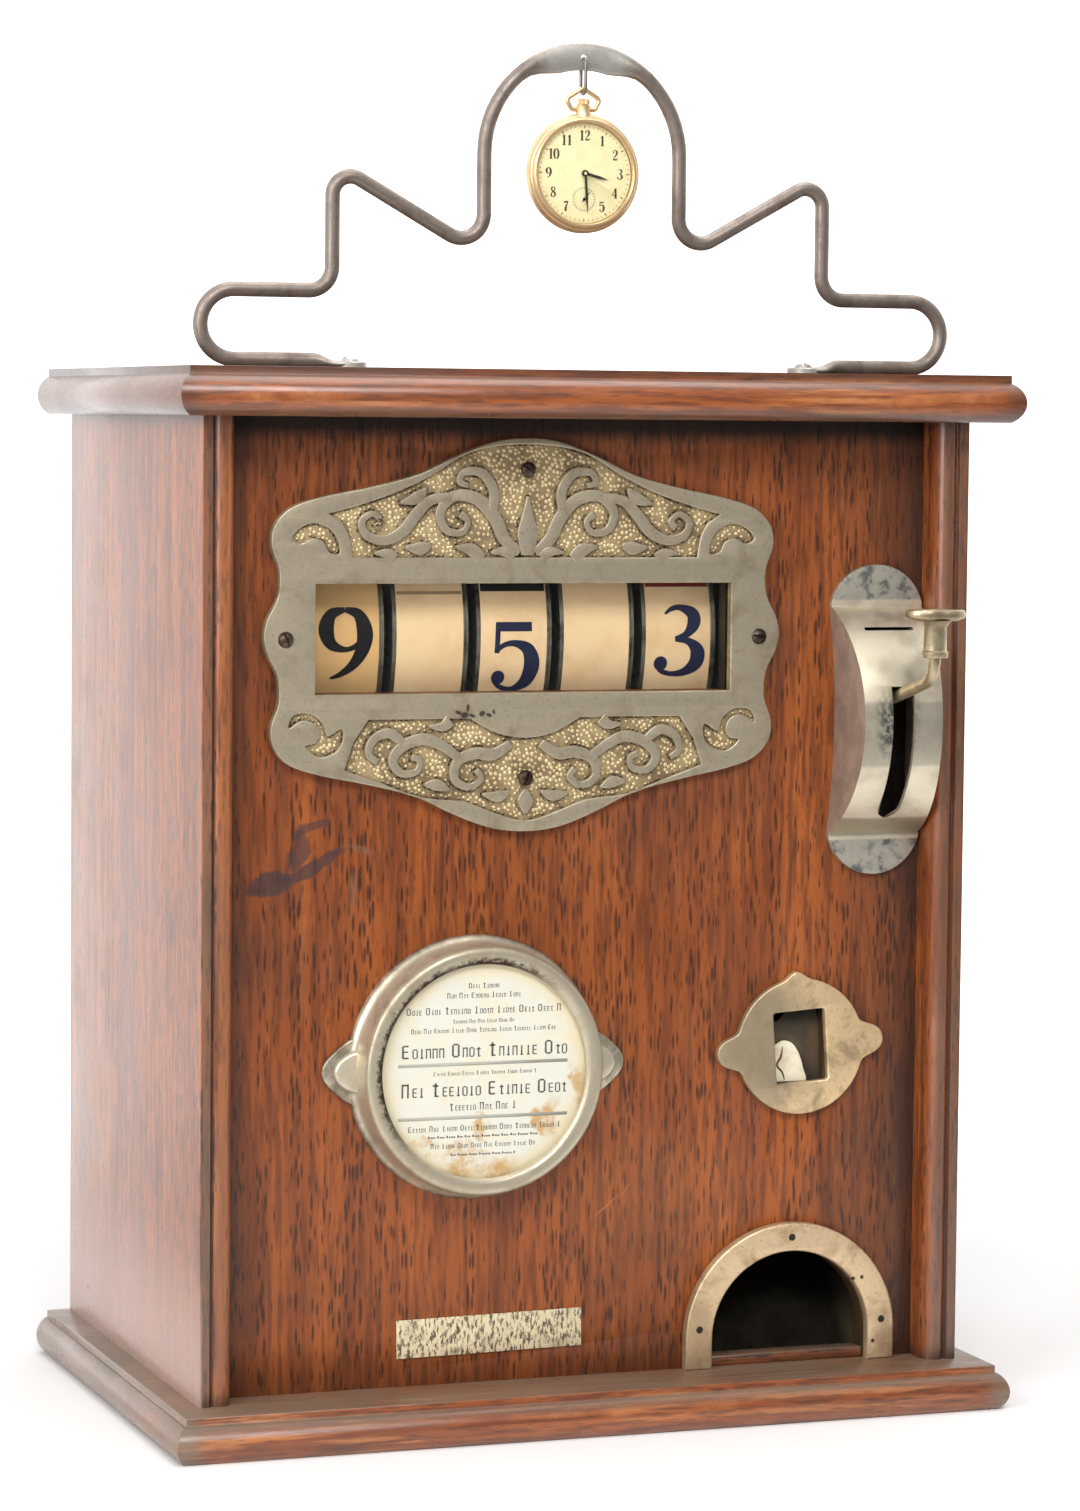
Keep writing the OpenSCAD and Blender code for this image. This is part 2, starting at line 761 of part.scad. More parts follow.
module mechanism_shelf() {
    color("burlywood") difference() {
        box([-x_in, y_inside, shelf_z - shelf_t], [x_in, y_door - 2, shelf_z]);
        box([shelf_cut_x, y_inside - 1, 0], [x_in + 1, shelf_cut_y, shelf_z + 1]);
    }
}

// Back door

module back_door() {
    color("peru") difference() {
        box([-x_in + door_gap, y_door, z_floor + door_gap], [x_in - door_gap, y_back, z_ceiling - door_gap]);
        rod_y(y_door - 1, y_back + 1, lock_x, lock_z, lock_r + run_fit);
    }
}

module hinge_part(z, moving) {
    step = knuckle_len + knuckle_gap;
    side = moving ? 1 : -1;
    difference() {
        for (k = moving ? [1] : [0, 2]) translate([0, 0, z + k * step]) {
            translate([hinge_x, hinge_y, 0]) cylinder(r = knuckle_r, h = knuckle_len);
            translate([side > 0 ? hinge_x : hinge_x - leaf_w, y_back, 0]) cube([leaf_w, leaf_t, knuckle_len]);
        }
        translate([hinge_x, hinge_y, z - 1]) cylinder(r = hinge_pin_r + run_fit, h = hinge_len + 2);
    }
    side_from = hinge_x + side * (knuckle_r + 0.6);
    side_to = hinge_x + side * leaf_w;
    box([min(side_from, side_to), y_back, z], [max(side_from, side_to), y_back + leaf_t, z + hinge_len]);
}

module hinge_leaves_cabinet() {
    color("goldenrod") for (h = hinge_heights) hinge_part(z_floor + h - hinge_len / 2, false);
}

module hinge_leaves_door() {
    color("goldenrod") for (h = hinge_heights) hinge_part(z_floor + h - hinge_len / 2, true);
}

module hinge_pins() {
    color("silver") for (h = hinge_heights) translate([hinge_x, hinge_y, z_floor + h - hinge_len / 2])
        cylinder(r = hinge_pin_r, h = hinge_len);
}

module door_lock() {
    color("gold") difference() {
        union() {
            rod_y(y_door - lock_reach, y_back + lock_plate_t, lock_x, lock_z, lock_r);
            rod_y(y_back, y_back + lock_plate_t, lock_x, lock_z, lock_r + lock_flange);
        }
        rod_y(y_door - lock_reach - 1, y_back + lock_plate_t + 1, lock_x, lock_z, cam_pin_r + run_fit);
    }
}

module lock_cam() {
    color("silver") {
        difference() {
            rod_y(cam_y, y_back + lock_plate_t, lock_x, lock_z, cam_pin_r);
            box([lock_x - key_w / 2, y_back - key_deep, lock_z - key_h / 2],
                [lock_x + key_w / 2, y_back + lock_plate_t + 1, lock_z + key_h / 2]);
        }
        along_y(cam_y, cam_y + cam_t)
            bar_plan([lock_x, lock_z], [lock_x, lock_z - cam_len + cam_half], cam_half);
    }
}

module lock_strike() {
    strike_w = 9;
    strike_half = 12;
    color("silver") box([x_in - strike_w, y_door - strike_gap - strike_t, lock_z - strike_half],
        [x_in, y_door - strike_gap, lock_z + strike_half]);
}

// Number plate

// One quarter of the plate's outline, as shares of its half width and half height
plate_quarter = [[0, 1], [0.13, 0.98], [0.27, 0.91], [0.42, 0.815], [0.6, 0.75], [0.78, 0.7], [0.9, 0.645],
    [0.962, 0.555], [0.972, 0.45], [0.943, 0.33], [0.948, 0.2], [0.986, 0.09], [1, 0]];
quarter_last = len(plate_quarter) - 1;
plate_ring = concat(
    [for (i = [0 : quarter_last]) plate_quarter[i]],
    [for (i = [quarter_last - 1 : -1 : 0]) [plate_quarter[i][0], -plate_quarter[i][1]]],
    [for (i = [1 : quarter_last]) [-plate_quarter[i][0], -plate_quarter[i][1]]],
    [for (i = [quarter_last - 1 : -1 : 1]) [-plate_quarter[i][0], plate_quarter[i][1]]]);

// A smooth closed curve through the points of a ring
function ring_at(p, i) = p[(i + len(p)) % len(p)];
function smooth_point(p, i, t) =
    let (a = ring_at(p, i - 1), b = ring_at(p, i), c = ring_at(p, i + 1), d = ring_at(p, i + 2))
    0.5 * (2 * b + (c - a) * t + (2 * a - 5 * b + 4 * c - d) * t * t + (3 * b - a - 3 * c + d) * t * t * t);
curve_steps = 3;
plate_outline = [for (i = [0 : len(plate_ring) - 1]) for (k = [0 : curve_steps - 1])
    let (q = smooth_point(plate_ring, i, k / curve_steps)) [q[0] * plate_w / 2, q[1] * plate_h / 2]];

module number_plate() {
    color("lightgoldenrodyellow") difference() {
        along_y(y_panel - plate_t, y_panel) translate([-plate_left, plate_z]) difference() {
            polygon(plate_outline);
            translate([-window_w / 2, -window_drop - window_h / 2]) square([window_w, window_h]);
        }
        for (p = plate_screws)
            rod_y(y_panel - plate_t - 1, y_panel + 1, p[0] - plate_left, p[1] + plate_z, screw_r + run_fit);
    }
}

module number_plate_screws() {
    color("silver") for (p = plate_screws)
        front_fastener(p[0] - plate_left, y_panel - plate_t, p[1] + plate_z,
            screw_r, screw_head_r, screw_len);
}

module number_glass() {
    slack = run_fit;
    color("lightcyan", 0.4) translate([-plate_left, 0, reel_z])
        box([-window_w / 2 - glass_lap + slack, y_panel, -window_h / 2 - glass_lap + slack],
            [window_w / 2 + glass_lap - slack, y_panel + glass_t, window_h / 2 + glass_lap - slack]);
}

// Card bezel

module ears_plan(span, r, reach) {
    for (s = [-1, 1]) {
        translate([s * (span / 2 - r), 0]) circle(r = r);
        translate([s > 0 ? reach : -span / 2 + r, -r]) square([span / 2 - r - reach, 2 * r]);
    }
}

module card_bezel() {
    ear_t = 2;
    foot_sweep = [0.6, 1.4];
    rim_round = [2, 3];
    color("silver") {
        turned_y(bezel_x, y_panel, bezel_z) polygon([[bezel_view_r + bezel_lip, 0], [bezel_foot_r, 0],
            [bezel_foot_r, ear_t], [bezel_r + foot_sweep[0], ear_t + foot_sweep[1]],
            [bezel_r, bezel_out - rim_round[1]], [bezel_r - rim_round[0], bezel_out],
            [bezel_view_r, bezel_out], [bezel_view_r, bezel_out - bezel_wall],
            [bezel_view_r + bezel_lip, bezel_out - bezel_wall]]);
        translate([bezel_x, 0, bezel_z]) along_y(y_panel - ear_t, y_panel)
            ears_plan(ear_span, ear_r, bezel_foot_r - ear_t);
    }
}

card_r = bezel_view_r + bezel_lip - loose_fit;
card_glass_y = y_panel - bezel_out + bezel_wall;
card_y = card_glass_y + glass_t;

module card_glass() {
    color("lightcyan", 0.4) rod_y(card_glass_y, card_y, bezel_x, bezel_z, card_r);
}

module award_card() {
    color("wheat") rod_y(card_y, card_y + card_t, bezel_x, bezel_z, card_r);
}

// Coin view and payout

module coin_view_plate() {
    view_ear_r = 5;
    color("silver") translate([view_x, 0, view_z]) rotate([0, -view_turn, 0]) difference() {
        along_y(y_panel - view_t, y_panel) {
            circle(r = view_r);
            ears_plan(view_ear_span, view_ear_r, view_r - 2);
        }
        box([-view_w / 2, y_panel - view_t - 1, -view_h / 2], [view_w / 2, y_panel + 1, view_h / 2]);
    }
}

module payout_arch() {
    color("darkkhaki") difference() {
        along_y(y_panel - arch_t, y_panel) difference() {
            payout_opening_plan(arch_out_r);
            payout_plan(arch_in_r);
        }
        for (p = nail_places)
            rod_y(y_panel - arch_t - 1, y_panel + 1, p[0] + payout_x, p[1] + arch_z, nail_r + run_fit);
    }
}

module payout_nails() {
    nail_head_r = 1.8;
    color("dimgray") for (p = nail_places)
        front_fastener(p[0] + payout_x, y_panel - arch_t, p[1] + arch_z, nail_r, nail_head_r, nail_len);
}

module payout_sill() {
    color("peru") box([payout_x - arch_in_r, y_panel, z_floor],
        [payout_x + arch_in_r, y_inside, z_floor + sill_h]);
}

module payout_chute() {
    foot = [y_inside, z_floor + sill_h - sheet_t];
    head = [shelf_cut_y, chute_top];
    wall_rise = 4;
    floor_lip = 12;
    foot_flat = 2;
    color("darkolivegreen") {
        intersection() {
            along_x(payout_x0, x_in) polygon([foot, [foot[0] + foot_flat, foot[1]],
                [head[0], head[1] - sheet_t], head, [foot[0], foot[1] + sheet_t]]);
            linear_extrude(z_ceiling)
                polygon([[payout_x0, foot[0]], [payout_x1, foot[0]], [x_in, head[0]], [payout_x0, head[0]]]);
        }
        intersection() {
            along_x(payout_x0, x_in) polygon([foot, [head[0], head[1] - sheet_t],
                [head[0], head[1] + wall_rise], [foot[0], foot[1] + chute_side * 2]]);
            linear_extrude(z_ceiling) {
                translate([payout_x0, foot[0]]) square([sheet_t, head[0] - foot[0]]);
                polygon([[payout_x1 - sheet_t, foot[0]], [payout_x1, foot[0]],
                    [x_in, head[0]], [x_in - sheet_t, head[0]]]);
            }
        }
        box([payout_x0, y_inside, z_floor], [payout_x1, y_inside + floor_lip, z_floor + sheet_t]);
        box([payout_x0, y_inside, z_floor], [payout_x1, y_inside + sheet_t, foot[1] + sheet_t]);
    }
}

module small_plate() {
    color("gainsboro") translate([-tag_left, 0, tag_z]) rotate([0, -tag_turn, 0])
        along_y(y_panel - tag_t, y_panel) square([tag_w, tag_h], center = true);
}

// Lever

module guide_front() {
    half = guide_h / 2;
    translate([guide_x, guide_z]) {
        difference() {
            square([guide_w, guide_h], center = true);
            for (s = [-1, 1]) translate([s * (guide_waist / 2 + waist_cut_r), 0])
                circle(r = waist_cut_r, $fn = 256);
        }
        for (s = [-1, 1]) intersection() {
            translate([0, s * (half + foot_h - foot_r)]) circle(r = foot_r);
            translate([-guide_w / 2, s > 0 ? half : -half - foot_h]) square([guide_w, foot_h]);
        }
    }
}

module guide_side(inset) {
    intersection() {
        translate([lever_y, lever_z]) circle(r = bow_r - inset);
        translate([lever_y - bow_r, lever_z - bow_r]) square([y_panel - lever_y + bow_r + inset, 2 * bow_r]);
    }
    if (inset == 0) translate([y_panel - foot_t, guide_z - guide_h / 2 - foot_h])
        square([foot_t, guide_h + 2 * foot_h]);
}

module lever_guide() {
    color("silver") difference() {
        intersection() {
            along_x(guide_x - guide_w, guide_x + guide_w) guide_side(0);
            along_y(y_panel - guide_bow - 1, y_panel) guide_front();
        }
        intersection() {
            along_x(guide_x - guide_w, guide_x + guide_w) guide_side(guide_wall);
            translate([guide_x - guide_waist / 2 + guide_wall, y_panel - guide_bow, lever_z - guide_h / 2])
                cube([guide_waist - 2 * guide_wall, guide_bow + 1, guide_h]);
        }
        box([guide_x - slot_w / 2, y_panel - guide_bow - 1, slot_foot],
            [guide_x + slot_w / 2, y_panel - foot_t, slot_top]);
        box([guide_x - coin_slot_w / 2, y_panel - guide_bow - 1, coin_z - coin_slot_h / 2],
            [guide_x + coin_slot_w / 2, y_panel - foot_t, coin_z + coin_slot_h / 2]);
    }
}

module lever_brackets() {
    color("dimgray") for (x = [bracket_left, bracket_right]) difference() {
        union() {
            along_x(x, x + bracket_t) {
                translate([lever_y, lever_z]) circle(r = bracket_half);
                translate([y_inside, lever_z - bracket_half]) square([lever_y - y_inside, 2 * bracket_half]);
            }
            box([x, y_inside, lever_z - 2 * bracket_half],
                [x + bracket_foot, y_inside + bracket_foot_t, lever_z + 2 * bracket_half]);
        }
        rod_x(x - 1, x + bracket_t + 1, lever_y, lever_z, rock_r + run_fit);
    }
}

function crank_tip(a, angle) = a + crank_len * [cos(angle), sin(angle)];
lever_axis = [lever_y, lever_z];
kicker_axis = [kicker_y, kicker_z];
lever_pin = crank_tip(lever_axis, crank_rest);
kicker_pin = crank_tip(kicker_axis, crank_rest);

module lever_shaft() {
    color("gray") {
        rod_x(crank_x, bracket_right + bracket_t + 1, lever_y, lever_z, rock_r);
        along_x(crank_x, crank_x + crank_t) bar_plan(lever_axis, lever_pin, crank_eye_r);
        rod_x(crank_x, crank_pin_end, lever_pin[0], lever_pin[1], crank_pin_r);
    }
}

module lever_arm() {
    corners = [[arm_root[0], arm_root[1], 0], [arm_corner[0], arm_corner[1], arm_bend_r],
        [arm_corner[0], ferrule_z + ferrule_socket, 0]];
    arm_line = [for (q = bend_line(corners)) [guide_x, q[0], q[1]]];
    color("gainsboro") difference() {
        union() {
            rod_x(guide_x - arm_hub_w / 2, guide_x + arm_hub_w / 2, lever_y, lever_z, arm_hub_r);
            tube(arm_line, lever_rod_r, lever_sides, [1, 0, 0]);
        }
        rod_x(guide_x - arm_hub_w, guide_x + arm_hub_w, lever_y, lever_z, rock_r + run_fit);
    }
}

module thumb_piece() {
    color("gainsboro") translate([guide_x, arm_corner[0], ferrule_z]) {
        difference() {
            cylinder(r = ferrule_r, h = ferrule_h);
            translate([0, 0, -1]) cylinder(r = lever_rod_r + run_fit, h = ferrule_socket + 1);
        }
        translate([0, 0, ferrule_h]) linear_extrude(thumb_t) {
            for (s = [-1, 1]) translate([s * (thumb_w - thumb_d) / 2, 0]) circle(d = thumb_d);
            square([thumb_w - thumb_d, thumb_d], center = true);
        }
    }
}

// Return spring wound round the lever shaft, one unbroken tube
spring_rings = 8;
spring_sides = 6;
spring_r = rock_r + loose_fit * 2 + spring_wire_r;
spring_tail = 1.8 * spring_r;
spring_x = bracket_left + bracket_t + loose_fit + spring_wire_r;
spring_count = spring_turns * spring_rings;
spring_points = concat(
    [[spring_x, lever_y - spring_r, lever_z + spring_tail]],
    [for (i = [0 : spring_count]) let (a = 180 + 360 * i / spring_rings)
        [spring_x + spring_pitch * i / spring_rings,
            lever_y + spring_r * cos(a), lever_z + spring_r * sin(a)]],
    [[spring_x + spring_pitch * spring_turns, lever_y - spring_r, lever_z - spring_tail]]);

// Least gap between points of the wire that lie a turn or more apart
spring_gap = min([for (i = [0 : spring_count]) for (k = [i + spring_rings / 2 : spring_count])
    norm(spring_points[i + 1] - spring_points[k + 1])]) - 2 * spring_wire_r;
echo(spring_gap = spring_gap);

module lever_spring() {
    color("gray") tube(spring_points, spring_wire_r, spring_sides, [1, 0, 0]);
}

// Linkage behind the panel

module drive_link() {
    color("gray") difference() {
        along_x(link_x, link_end) bar_plan(lever_pin, kicker_pin, crank_eye_r - 1);
        for (p = [lever_pin, kicker_pin]) rod_x(link_x - 1, link_end + 1, p[0], p[1], crank_pin_r + run_fit);
    }
}

module kicker_shaft() {
    color("gray") rod_x(frame_in_left - frame_t - shaft_proud, kicker_end, kicker_y, kicker_z, rock_r);
}

module kicker_fingers() {
    rest = finger_angle - lever_travel / 2;
    tip_r = 2;
    collar_r = 7;
    color("peru") for (i = [0 : reel_count - 1]) difference() {
        x = reel_x0 + i * reel_pitch;
        union() {
            rod_x(x - finger_w / 2, x + finger_w / 2, kicker_y, kicker_z, collar_r);
            along_x(x - finger_w / 2, x + finger_w / 2) bar_plan(kicker_axis,
                kicker_axis + (finger_len - tip_r) * [cos(rest), sin(rest)], tip_r);
        }
        rod_x(x - finger_w, x + finger_w, kicker_y, kicker_z, rock_r + run_fit);
    }
}

vend_pin = kicker_axis + vend_arm_len * [cos(vend_rest), sin(vend_rest)];

module kicker_cranks() {
    color("dimgray") {
        difference() {
            union() {
                along_x(crank_x, crank_x + crank_t) bar_plan(kicker_axis, kicker_pin, crank_eye_r);
                rod_x(crank_x, crank_pin_end, kicker_pin[0], kicker_pin[1], crank_pin_r);
            }
            rod_x(crank_x - 1, crank_x + crank_t + 1, kicker_y, kicker_z, rock_r + run_fit);
        }
        difference() {
            union() {
                along_x(vend_x, vend_x + crank_t) bar_plan(kicker_axis, vend_pin, crank_eye_r);
                rod_x(vend_x, vend_pin_end, vend_pin[0], vend_pin[1], vend_pin_r);
            }
            rod_x(vend_x - 1, vend_x + crank_t + 1, kicker_y, kicker_z, rock_r + run_fit);
        }
    }
}

module vend_pusher() {
    lug_half = 8;
    slot_half = vend_pin_r + vend_slot_room;
    lug_y = vend_pin[0];
    pin_low = kicker_z + vend_arm_len * cos(lever_travel / 2);
    pin_high = kicker_z + vend_arm_len;
    z0 = shelf_z + loose_fit;
    bar_y = magazine_back + vend_travel + 2;
    blade_x0 = magazine_x + sheet_t + 1;
    blade_x1 = x_in - sheet_t - 1;
    color("silver") difference() {
        union() {
            box([pusher_x, lug_y - lug_half, z0],
                [pusher_x + pusher_t, lug_y + lug_half, pin_high + lug_half]);
            box([pusher_x, lug_y - lug_half, z0], [pusher_x + pusher_t, bar_y + pusher_bar, z0 + pusher_h]);
            box([pusher_x, bar_y, z0], [blade_x1, bar_y + pusher_bar, z0 + pusher_h]);
            box([blade_x0, magazine_back + 1, z0], [blade_x1, bar_y + pusher_bar, z0 + pusher_t]);
            box([blade_x0, magazine_back + 1, z0], [blade_x1, magazine_back + 1 + pusher_t, z0 + pusher_h]);
        }
        box([pusher_x - 1, lug_y - slot_half, pin_low - slot_half],
            [pusher_x + pusher_t + 1, lug_y + slot_half, pin_high + slot_half]);
    }
}

module pack_magazine() {
    y0 = magazine_back - magazine_d;
    color("darkolivegreen") difference() {
        box([magazine_x, y0, shelf_z], [x_in, magazine_back, shelf_z + magazine_h]);
        box([magazine_x + sheet_t, y0 + sheet_t, shelf_z - 1],
            [x_in - sheet_t, magazine_back - sheet_t, shelf_z + magazine_h + 1]);
        box([magazine_x + sheet_t, y0 - 1, shelf_z - 1],
            [x_in - sheet_t, magazine_back + 1, shelf_z + pack_door]);
    }
}

// A band of one width along a line, with mitred corners
function left_of(d) = [-d[1], d[0]];
function mitre(p, i) = is_end(p, i) ? left_of(run_heading(p, min(i, len(p) - 2)))
    : let (a = left_of(run_heading(p, i - 1)), b = left_of(run_heading(p, i))) (a + b) / (1 + a * b);

module band_plan(p, w) {
    last = len(p) - 1;
    polygon(concat([for (i = [0 : last]) p[i] + mitre(p, i) * w / 2],
        [for (i = [last : -1 : 0]) p[i] - mitre(p, i) * w / 2]));
}

module coin_chute() {
    wide = coin_w + 2 * coin_wall;
    deep = coin_gap + 2 * coin_wall;
    tray_top = coin_z + coin_gap / 2;
    tray_foot = coin_z - coin_gap;
    exit_way = run_heading(coin_path, len(coin_path) - 2);
    color("darkolivegreen") difference() {
        union() {
            along_y(coin_y, coin_y + deep) band_plan(coin_path, wide);
            box([guide_x - wide / 2, y_inside, tray_foot - coin_wall],
                [guide_x + wide / 2, coin_y + deep, tray_top + coin_wall]);
        }
        along_y(coin_y + coin_wall, coin_y + deep - coin_wall)
            band_plan(concat(coin_path, [coin_exit + exit_way]), coin_w);
        box([guide_x - coin_w / 2, y_inside - 1, tray_foot],
            [guide_x + coin_w / 2, coin_y + coin_wall + 1, tray_top]);
        box([view_x - view_w / 2, coin_y - 1, view_z - view_h / 2],
            [view_x + view_w / 2, coin_y + coin_wall + 1, view_z + view_h / 2]);
    }
}

module cash_box() {
    room = 4;
    side_room = 6;
    low = [-x_in + room, y_inside + room, z_floor];
    high = [payout_x0 - side_room, y_door - room, z_floor + cash_h];
    wall = [cash_wall, cash_wall, cash_wall];
    color("burlywood") difference() {
        box(low, high);
        box(low + wall, [high[0] - cash_wall, high[1] - cash_wall, high[2] + 1]);
    }
}

// Reels

brake_y = reel_y + flange_r + loose_fit;
brake_t = 0.8;
brake_bar = 8;
brake_up = 52;
brake_down = 8;

frame_reach = 34;
frame_front = reel_y - frame_reach;
frame_flange = 12;
frame_head = 16;
frame_back = 4;
frame_neck = [6, 10];
frame_waist = [20, 60];

module frame_plan() {
    back = brake_y + brake_t + brake_bar + frame_back;
    top = reel_z + brake_up + brake_bar;
    polygon([[frame_front, shelf_z], [back, shelf_z], [back, top], [brake_y - frame_neck[0], top],
        [brake_y - frame_neck[1], reel_z + frame_head], [reel_y, reel_z + frame_head],
        [reel_y - frame_head, reel_z], [reel_y - frame_waist[0], reel_z - frame_waist[1]]]);
}

module reel_frame(x, flange_x) {
    color("dimgray") difference() {
        union() {
            along_x(x, x + frame_t) frame_plan();
            box([flange_x, frame_front, shelf_z],
                [flange_x + frame_flange, brake_y + brake_bar, shelf_z + frame_t]);
        }
        rod_x(x - 1, x + frame_t + 1, reel_y, reel_z, shaft_r + run_fit);
        rod_x(x - 1, x + frame_t + 1, kicker_y, kicker_z, rock_r + run_fit);
    }
}

module reel_frame_left() {
    reel_frame(frame_in_left - frame_t, frame_in_left - frame_flange);
}

module reel_frame_right() {
    reel_frame(frame_in_right, frame_in_right);
}

module reel_shaft() {
    color("silver") rod_x(frame_in_left - frame_t - shaft_proud, frame_in_right + frame_t + shaft_proud,
        reel_y, reel_z, shaft_r);
}

module reel_spacers() {
    gap = reel_pitch - reel_w;
    color("goldenrod") for (i = [0 : reel_count]) difference() {
        x = reel_x0 - reel_w / 2 - gap + i * reel_pitch;
        rod_x(x + spacer_gap, x + gap - spacer_gap, reel_y, reel_z, spacer_r);
        rod_x(x - 1, x + gap + 1, reel_y, reel_z, shaft_r + run_fit);
    }
}

module reel_brakes() {
    leaf = 8;
    color("gray") {
        box([frame_in_left, brake_y + brake_t, reel_z + brake_up],
            [frame_in_right, brake_y + brake_t + brake_bar, reel_z + brake_up + brake_bar]);
        for (i = [0 : reel_count - 1]) {
            x = reel_x0 + i * reel_pitch;
            box([x - leaf / 2, brake_y, reel_z - brake_down],
                [x + leaf / 2, brake_y + brake_t, reel_z + brake_up + brake_bar]);
        }
    }
}

module reel(i) {
    x = reel_x0 + (i - 1) * reel_pitch;
    color("antiquewhite") difference() {
        translate([x, reel_y, reel_z]) rotate([0, 90, 0]) rotate_extrude() {
            translate([0, -strip_w / 2]) square([hub_r, strip_w]);
            translate([reel_r - reel_wall, -strip_w / 2]) square([reel_wall, strip_w]);
            for (s = [-1, 1]) translate([0, s * (strip_w + reel_wall) / 2 - reel_wall / 2])
                square([flange_r, reel_wall]);
        }
        rod_x(x - reel_w, x + reel_w, reel_y, reel_z, shaft_r + run_fit);
        for (k = [0 : 4]) rod_x(x - reel_w, x + reel_w, reel_y + spoke_hole_ring * cos(72 * k),
            reel_z + spoke_hole_ring * sin(72 * k), spoke_hole_r);
    }
}

// Hanger and watch

module watch_hanger() {
    color("silver") difference() {
        union() {
            translate([0, hanger_y, hanger_z]) tube(hanger_line, hanger_r, hanger_sides, [0, 1, 0]);
            for (s = [-1, 1]) translate([s * hanger_foot_half, hanger_y, z_top])
                cylinder(r = foot_pad_r, h = foot_pad_t);
            rod_y(hanger_y - eye_t / 2, hanger_y + eye_t / 2, 0, eye_z, eye_r);
        }
        rod_y(hanger_y - eye_t * 2, hanger_y + eye_t * 2, 0, eye_z, eye_hole_r);
        for (s = [-1, 1]) translate([s * hanger_foot_half, hanger_y, z_top]) {
            translate([0, 0, -1]) cylinder(r = screw_r + run_fit, h = foot_pad_t + 2);
            translate([0, 0, foot_pad_t]) cylinder(r = foot_pad_r + loose_fit, h = 2 * hanger_r);
        }
    }
}

module hanger_screws() {
    color("silver") for (s = [-1, 1]) translate([s * hanger_foot_half, hanger_y, z_top + foot_pad_t]) {
        translate([0, 0, -hanger_screw_len + 1]) cylinder(r = screw_r, h = hanger_screw_len);
        rotate_extrude() intersection() {
            translate([0, -screw_head_r * 0.6]) circle(r = screw_head_r * 1.166);
            square([screw_head_r, screw_head_r]);
        }
    }
}

module watch_link() {
    top = link_top - link_bend;
    foot = link_foot + link_bend;
    color("silver") translate([0, hanger_y, 0]) {
        translate([0, 0, top]) rotate([90, 0, 90]) rotate_extrude(angle = 180)
            translate([link_bend, 0]) circle(r = link_wire_r);
        translate([0, 0, foot]) rotate([90, 0, 90]) rotate([0, 0, 180]) rotate_extrude(angle = 180)
            translate([link_bend, 0]) circle(r = link_wire_r);
        for (s = [-1, 1]) translate([0, s * link_bend, foot]) cylinder(r = link_wire_r, h = top - foot);
    }
}

module watch_bow() {
    peg_in = pendant_r - bow_peg;
    half = [[-peg_in, -bow_h, 0], [-bow_end, -bow_h, bow_wire_r],
        [-bow_shoulder[0], bow_shoulder[1], bow_bend]];
    path = concat(half, [[0, 0, bow_peak_bend]],
        [for (i = [len(half) - 1 : -1 : 0]) [-half[i][0], half[i][1], half[i][2]]]);
    color("gold") translate([0, hanger_y, bow_corner]) rotate([90, 0, 0]) bent_rod(path, bow_wire_r);
}

module watch_case() {
    back_r = 0.7 * watch_r;
    back_edge = [1.2, 0.8];
    front_edge = [1, 0.5];
    color("gold") difference() {
        union() {
            turned_y(0, hanger_y, watch_z) polygon([[0, -case_back], [back_r, -case_back],
                [watch_r - back_edge[0], -case_band - back_edge[1]], [watch_r, -case_band],
                [watch_r, case_band], [watch_r - front_edge[0], case_front - front_edge[1]],
                [dial_r + front_edge[0], case_front], [dial_r + dial_slack, case_front],
                [dial_r + dial_slack, dial_seat], [0, dial_seat]]);
            translate([0, hanger_y, watch_z + watch_r - pendant_root])
                cylinder(r = pendant_r, h = pendant_top - watch_z - watch_r + pendant_root);
        }
        rod_x(-pendant_r - 1, pendant_r + 1, hanger_y, bow_pivot, bow_wire_r + run_fit);
        rod_y(hanger_y - dial_front, hanger_y - dial_seat + seconds_pocket, 0, seconds_z,
            seconds_wheel_r + loose_fit);
    }
}

module watch_crown() {
    color("gold") translate([0, hanger_y, pendant_top + run_fit]) cylinder(r = crown_r, h = crown_h);
}

module watch_dial() {
    color("oldlace") difference() {
        turned_y(0, hanger_y, watch_z) {
            translate([0, dial_seat]) square([dial_r, dial_t]);
            translate([0, dial_seat]) square([post_r, minute_h + hand_t - dial_seat]);
        }
        rod_y(hanger_y - dial_front - 1, hanger_y, 0, seconds_z, arbor_r + run_fit);
    }
}

module watch_crystal() {
    dome = [[0, crystal_foot + crystal_rise], [dial_r / 2, crystal_foot + 0.75 * crystal_rise],
        [dial_r, crystal_foot]];
    outside = [for (i = [len(dome) - 1 : -1 : 0]) dome[i] + [0, crystal_t]];
    color("lightcyan", 0.4) turned_y(0, hanger_y, watch_z) polygon(concat(dome, outside));
}

// A hand with a pointed end; post is the radius it turns on, or 0 where its own arbor carries it
module watch_hand(z, h, turn, reach, tail, eye, post, wide) {
    shoulder = 0.6 * reach;
    color("midnightblue") translate([0, hanger_y, z]) rotate([0, turn, 0]) difference() {
        along_y(-h - hand_t, -h) {
            circle(r = eye);
            polygon([[-wide / 2, -tail], [wide / 2, -tail], [wide / 2, shoulder], [0, reach],
                [-wide / 2, shoulder]]);
        }
        if (post > 0) rod_y(-h - 1, -h + 1, 0, 0, post + run_fit);
    }
}

module hour_hand() {
    watch_hand(watch_z, hour_h, hour_turn, hour_len, 0, hour_eye, post_r, hour_w);
}

module minute_hand() {
    watch_hand(watch_z, minute_h, minute_turn, minute_len, 0, minute_eye, post_r, minute_w);
}

